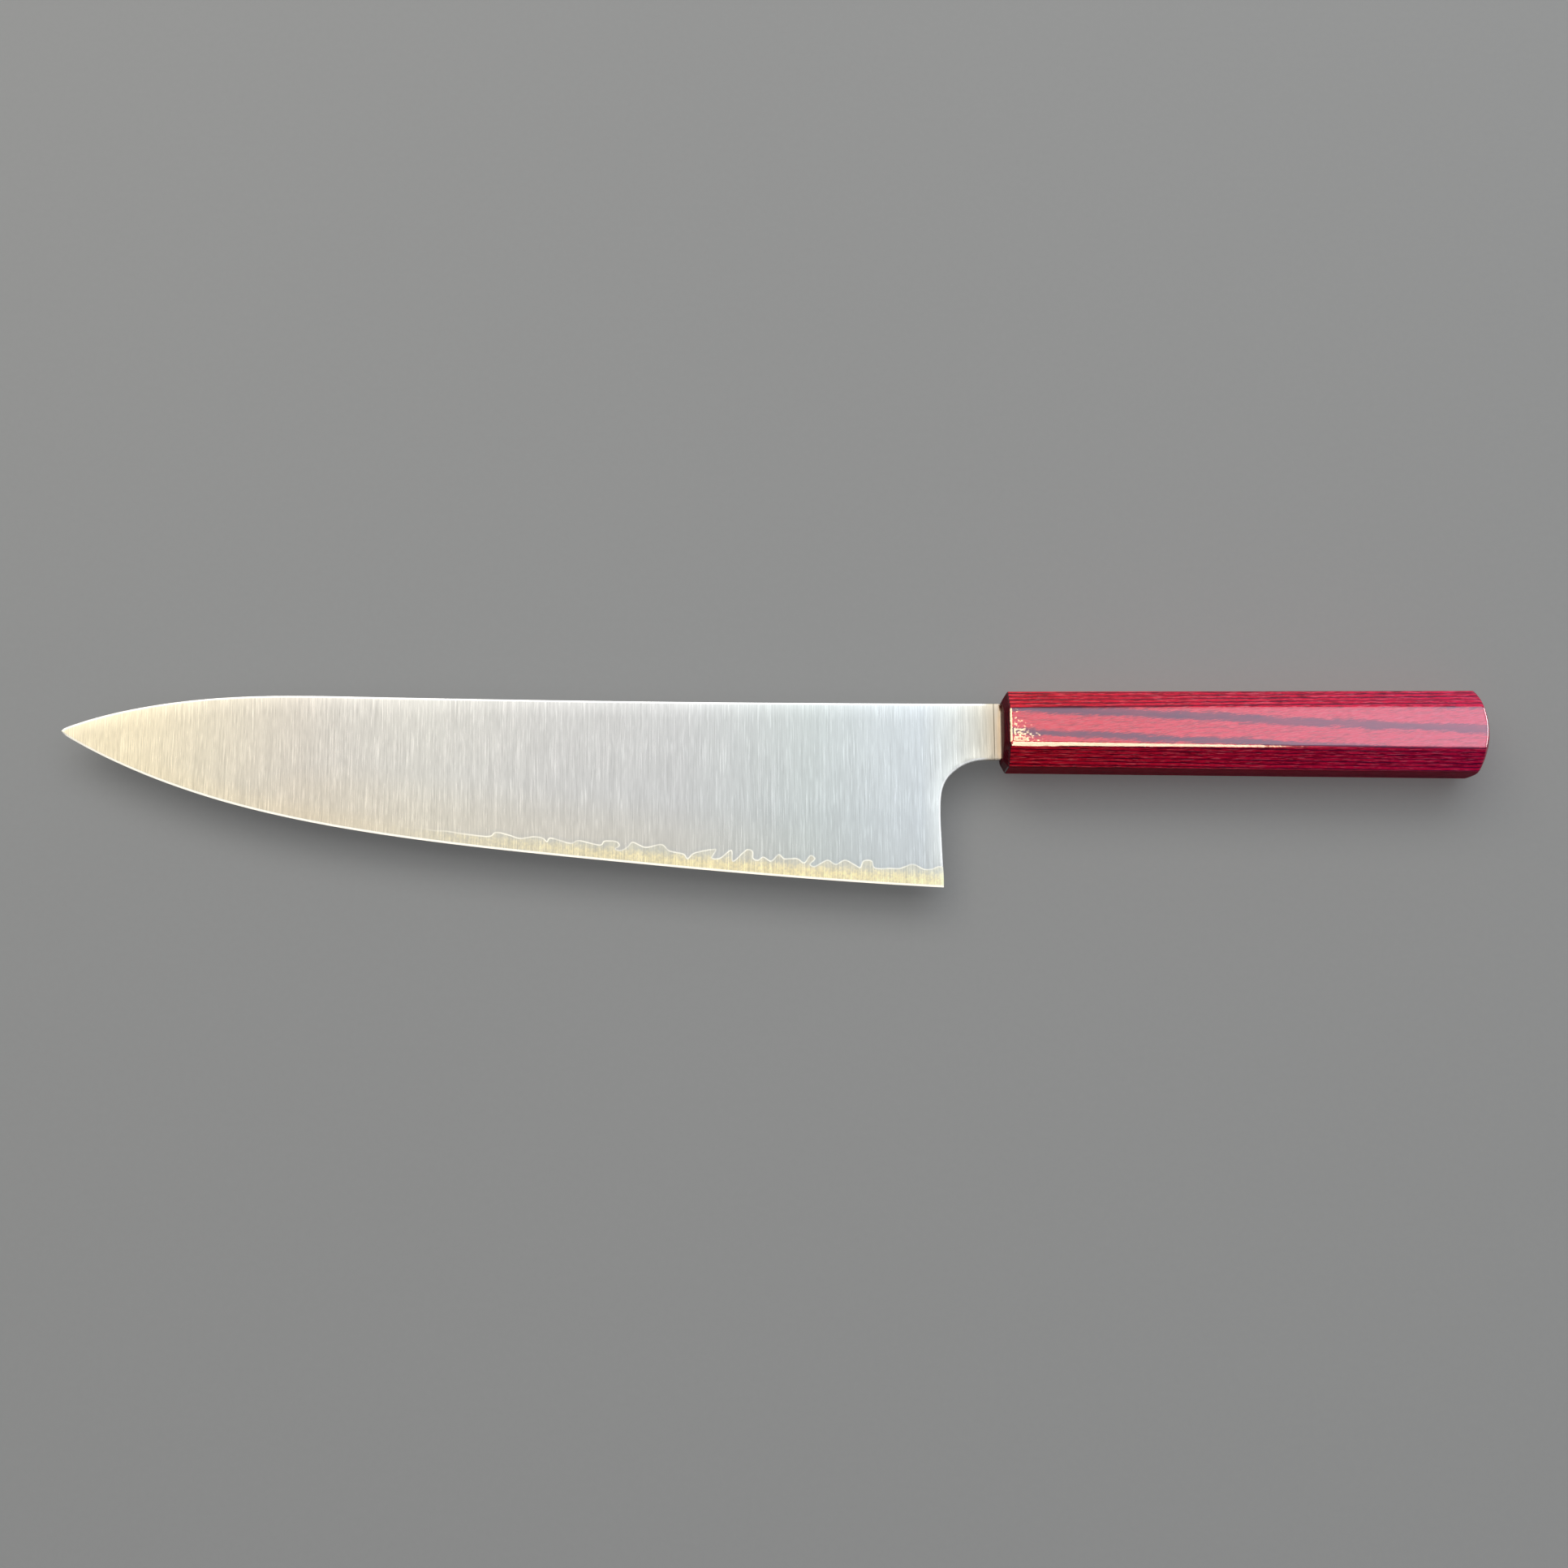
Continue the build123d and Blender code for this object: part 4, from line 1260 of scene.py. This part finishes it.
# ---------------------------------------------------------------------------
# Floor, light and camera, in metres
# ---------------------------------------------------------------------------
FLOOR_HALF, FLOOR_GAP = 6, 0.00002
SOFT_Z = 1.10                                   # height of the soft boxes
SOFT_FRONT_Y, SOFT_BACK_Y = (0.03, 0.62), (0.62, 1.55)
SOFT_FRONT, SOFT_BACK = 0.93, 1.95              # radiance
CAMERA_AIM_X, CAMERA_AIM_Y, CAMERA_DISTANCE = -0.059019, -0.014460, 0.5
CAMERA_TILT, CAMERA_ROLL = math.radians(10.2724), math.radians(0.2549)

scene = bpy.context.scene
mesh = bpy.data.meshes.new("floor")
mesh.from_pydata([(sx * FLOOR_HALF, sy * FLOOR_HALF, 0)
                  for sx, sy in ((-1, -1), (1, -1), (1, 1), (-1, 1))], [], [(0, 1, 2, 3)])
floor = bpy.data.objects.new("floor", mesh)
floor.location = (0, 0, CAD_BOX[0][2] - FLOOR_GAP)
mesh.materials.append(floor_paper("floor_paper"))
scene.collection.objects.link(floor)


def studio_world():
    """A glow from above and +Y; seen directly, the backdrop is an even pale grey."""
    world = bpy.data.worlds.new("studio")
    scene.world = world
    world.use_nodes = True
    nodes, links = world.node_tree.nodes, world.node_tree.links
    background = nodes["Background"]
    background.inputs["Color"].default_value = (0.95, 0.98, 1.0, 1)
    place = nodes.new("ShaderNodeTexCoord")
    toward = nodes.new("ShaderNodeVectorMath")
    toward.operation = "DOT_PRODUCT"
    toward.inputs[1].default_value = (0.0, 0.55, 0.835)
    links.new(place.outputs["Generated"], toward.inputs[0])
    fade = nodes.new("ShaderNodeMapRange")
    fade.interpolation_type = "SMOOTHSTEP"
    links.new(toward.outputs["Value"], fade.inputs["Value"])
    for key, value in (("From Min", -0.30), ("From Max", 0.85),
                       ("To Min", 0.022), ("To Max", 0.42)):
        fade.inputs[key].default_value = value
    path = nodes.new("ShaderNodeLightPath")
    seen = nodes.new("ShaderNodeMix")
    links.new(path.outputs["Is Camera Ray"], seen.inputs[0])
    links.new(fade.outputs["Result"], seen.inputs[2])
    seen.inputs[3].default_value = 0.32
    links.new(seen.outputs[0], background.inputs["Strength"])


def panel(name, at, to, size, radiance, colour):
    """A rectangular light hidden from the camera, given by its brightness."""
    light = bpy.data.lights.new(name, "AREA")
    light.shape = "RECTANGLE"
    light.size, light.size_y = size
    light.energy = radiance * math.pi * size[0] * size[1]
    light.color = colour
    obj = bpy.data.objects.new(name, light)
    obj.location = at
    z = (Vector(at) - Vector(to)).normalized()
    y = z.cross(Vector((1, 0, 0))).normalized()
    x = y.cross(z).normalized()
    obj.rotation_euler = Matrix((x, y, z)).transposed().to_euler()
    obj.visible_camera = False
    scene.collection.objects.link(obj)
    return obj


def softbox(name, xs, ys, radiance, colour):
    """A panel facing straight down."""
    x, y = (xs[0] + xs[1]) / 2, (ys[0] + ys[1]) / 2
    panel(name, (x, y, SOFT_Z), (x, y, 0.0), (xs[1] - xs[0], ys[1] - ys[0]), radiance, colour)


def group(name, objects):
    """A collection that names what a light falls on."""
    collection = bpy.data.collections.new(name)
    scene.collection.children.link(collection)
    for obj in objects:
        collection.objects.link(obj)
    return collection


studio_world()
# name, x range, brightness factor, colour
for tag, xs, grade, colour in (("warm", (-1.15, -0.50), 1.16, (1.0, 0.935, 0.80)),
                               ("neutral", (-0.50, -0.06), 1.02, (1.0, 0.975, 0.92)),
                               ("cool", (-0.06, 0.95), 1.00, (0.93, 0.975, 1.0))):
    softbox("soft_%s" % tag, xs, SOFT_FRONT_Y, SOFT_FRONT * grade, colour)
    softbox("soft_%s_back" % tag, xs, SOFT_BACK_Y, SOFT_BACK * grade, colour)

handle_only = group("handle_only", plies)
blade_only = group("blade_only", blade)
# panels seen only in the reflections of one group: name, at, to, size, radiance, colour, group
SHEENS = [
    ("over_handle", (0.36, 0.24, 1.05), (0.36, 0.24, 0.0), (0.66, 0.36), 2.7,
     (1.0, 0.90, 1.02), handle_only),
    ("low_edge", (0.125, -0.365, 0.50), (0.03, -0.004, 0.01), (0.21, 0.60), 26.0,
     (1.0, 0.85, 0.58), handle_only),
    ("left_edge", (-0.37, 0.16, 0.60), (0.0, 0.0, 0.01), (0.68, 0.38), 29.0,
     (1.0, 0.80, 0.48), handle_only),
    ("butt_edge", (0.66, 0.12, 0.205), (0.129, 0.0, 0.01), (0.26, 0.26), 24.0,
     (1.0, 0.95, 0.97), handle_only),
    ("bevel", (-0.40, -0.42, 1.05), (-0.12, -0.03, 0.0), (1.5, 0.34), 0.98,
     (1.0, 0.97, 0.95), blade_only),
    ("far_wall", (0.2, -2.4, 0.85), (0.2, 0.0, 0.6), (7.0, 1.7), 0.75,
     (0.97, 0.99, 1.0), blade_only),
]
for tag, at, to, size, radiance, colour, receivers in SHEENS:
    sheen = panel("sheen_" + tag, at, to, size, radiance, colour)
    sheen.visible_diffuse = False
    sheen.light_linking.receiver_collection = receivers

# an even, shadowless lift on the floor alone, so the knife's own shadow stays faint
floor_only = group("floor_only", [floor])
sun = bpy.data.lights.new("floor_fill", "SUN")
sun.energy = 0.85
sun.use_shadow = False
fill = bpy.data.objects.new("floor_fill", sun)
scene.collection.objects.link(fill)
fill.light_linking.receiver_collection = floor_only

camera = bpy.data.cameras.new("camera")
camera_object = bpy.data.objects.new("camera", camera)
scene.collection.objects.link(camera_object)
camera.sensor_width = 36.0
camera.lens = 42.2925
camera.clip_start, camera.clip_end = 0.01, 50.0
camera_at = Vector((CAMERA_AIM_X, CAMERA_AIM_Y - CAMERA_DISTANCE * math.sin(CAMERA_TILT),
                    CAMERA_DISTANCE * math.cos(CAMERA_TILT)))
camera_object.matrix_world = (Matrix.Translation(camera_at)
                              @ Matrix.Rotation(CAMERA_TILT, 4, "X")
                              @ Matrix.Rotation(CAMERA_ROLL, 4, "Z"))
scene.camera = camera_object
scene.view_settings.view_transform = "Standard"
scene.view_settings.look = "None"
scene.view_settings.exposure = 0.0
scene.view_settings.gamma = 1.0

bpy.context.view_layer.update()
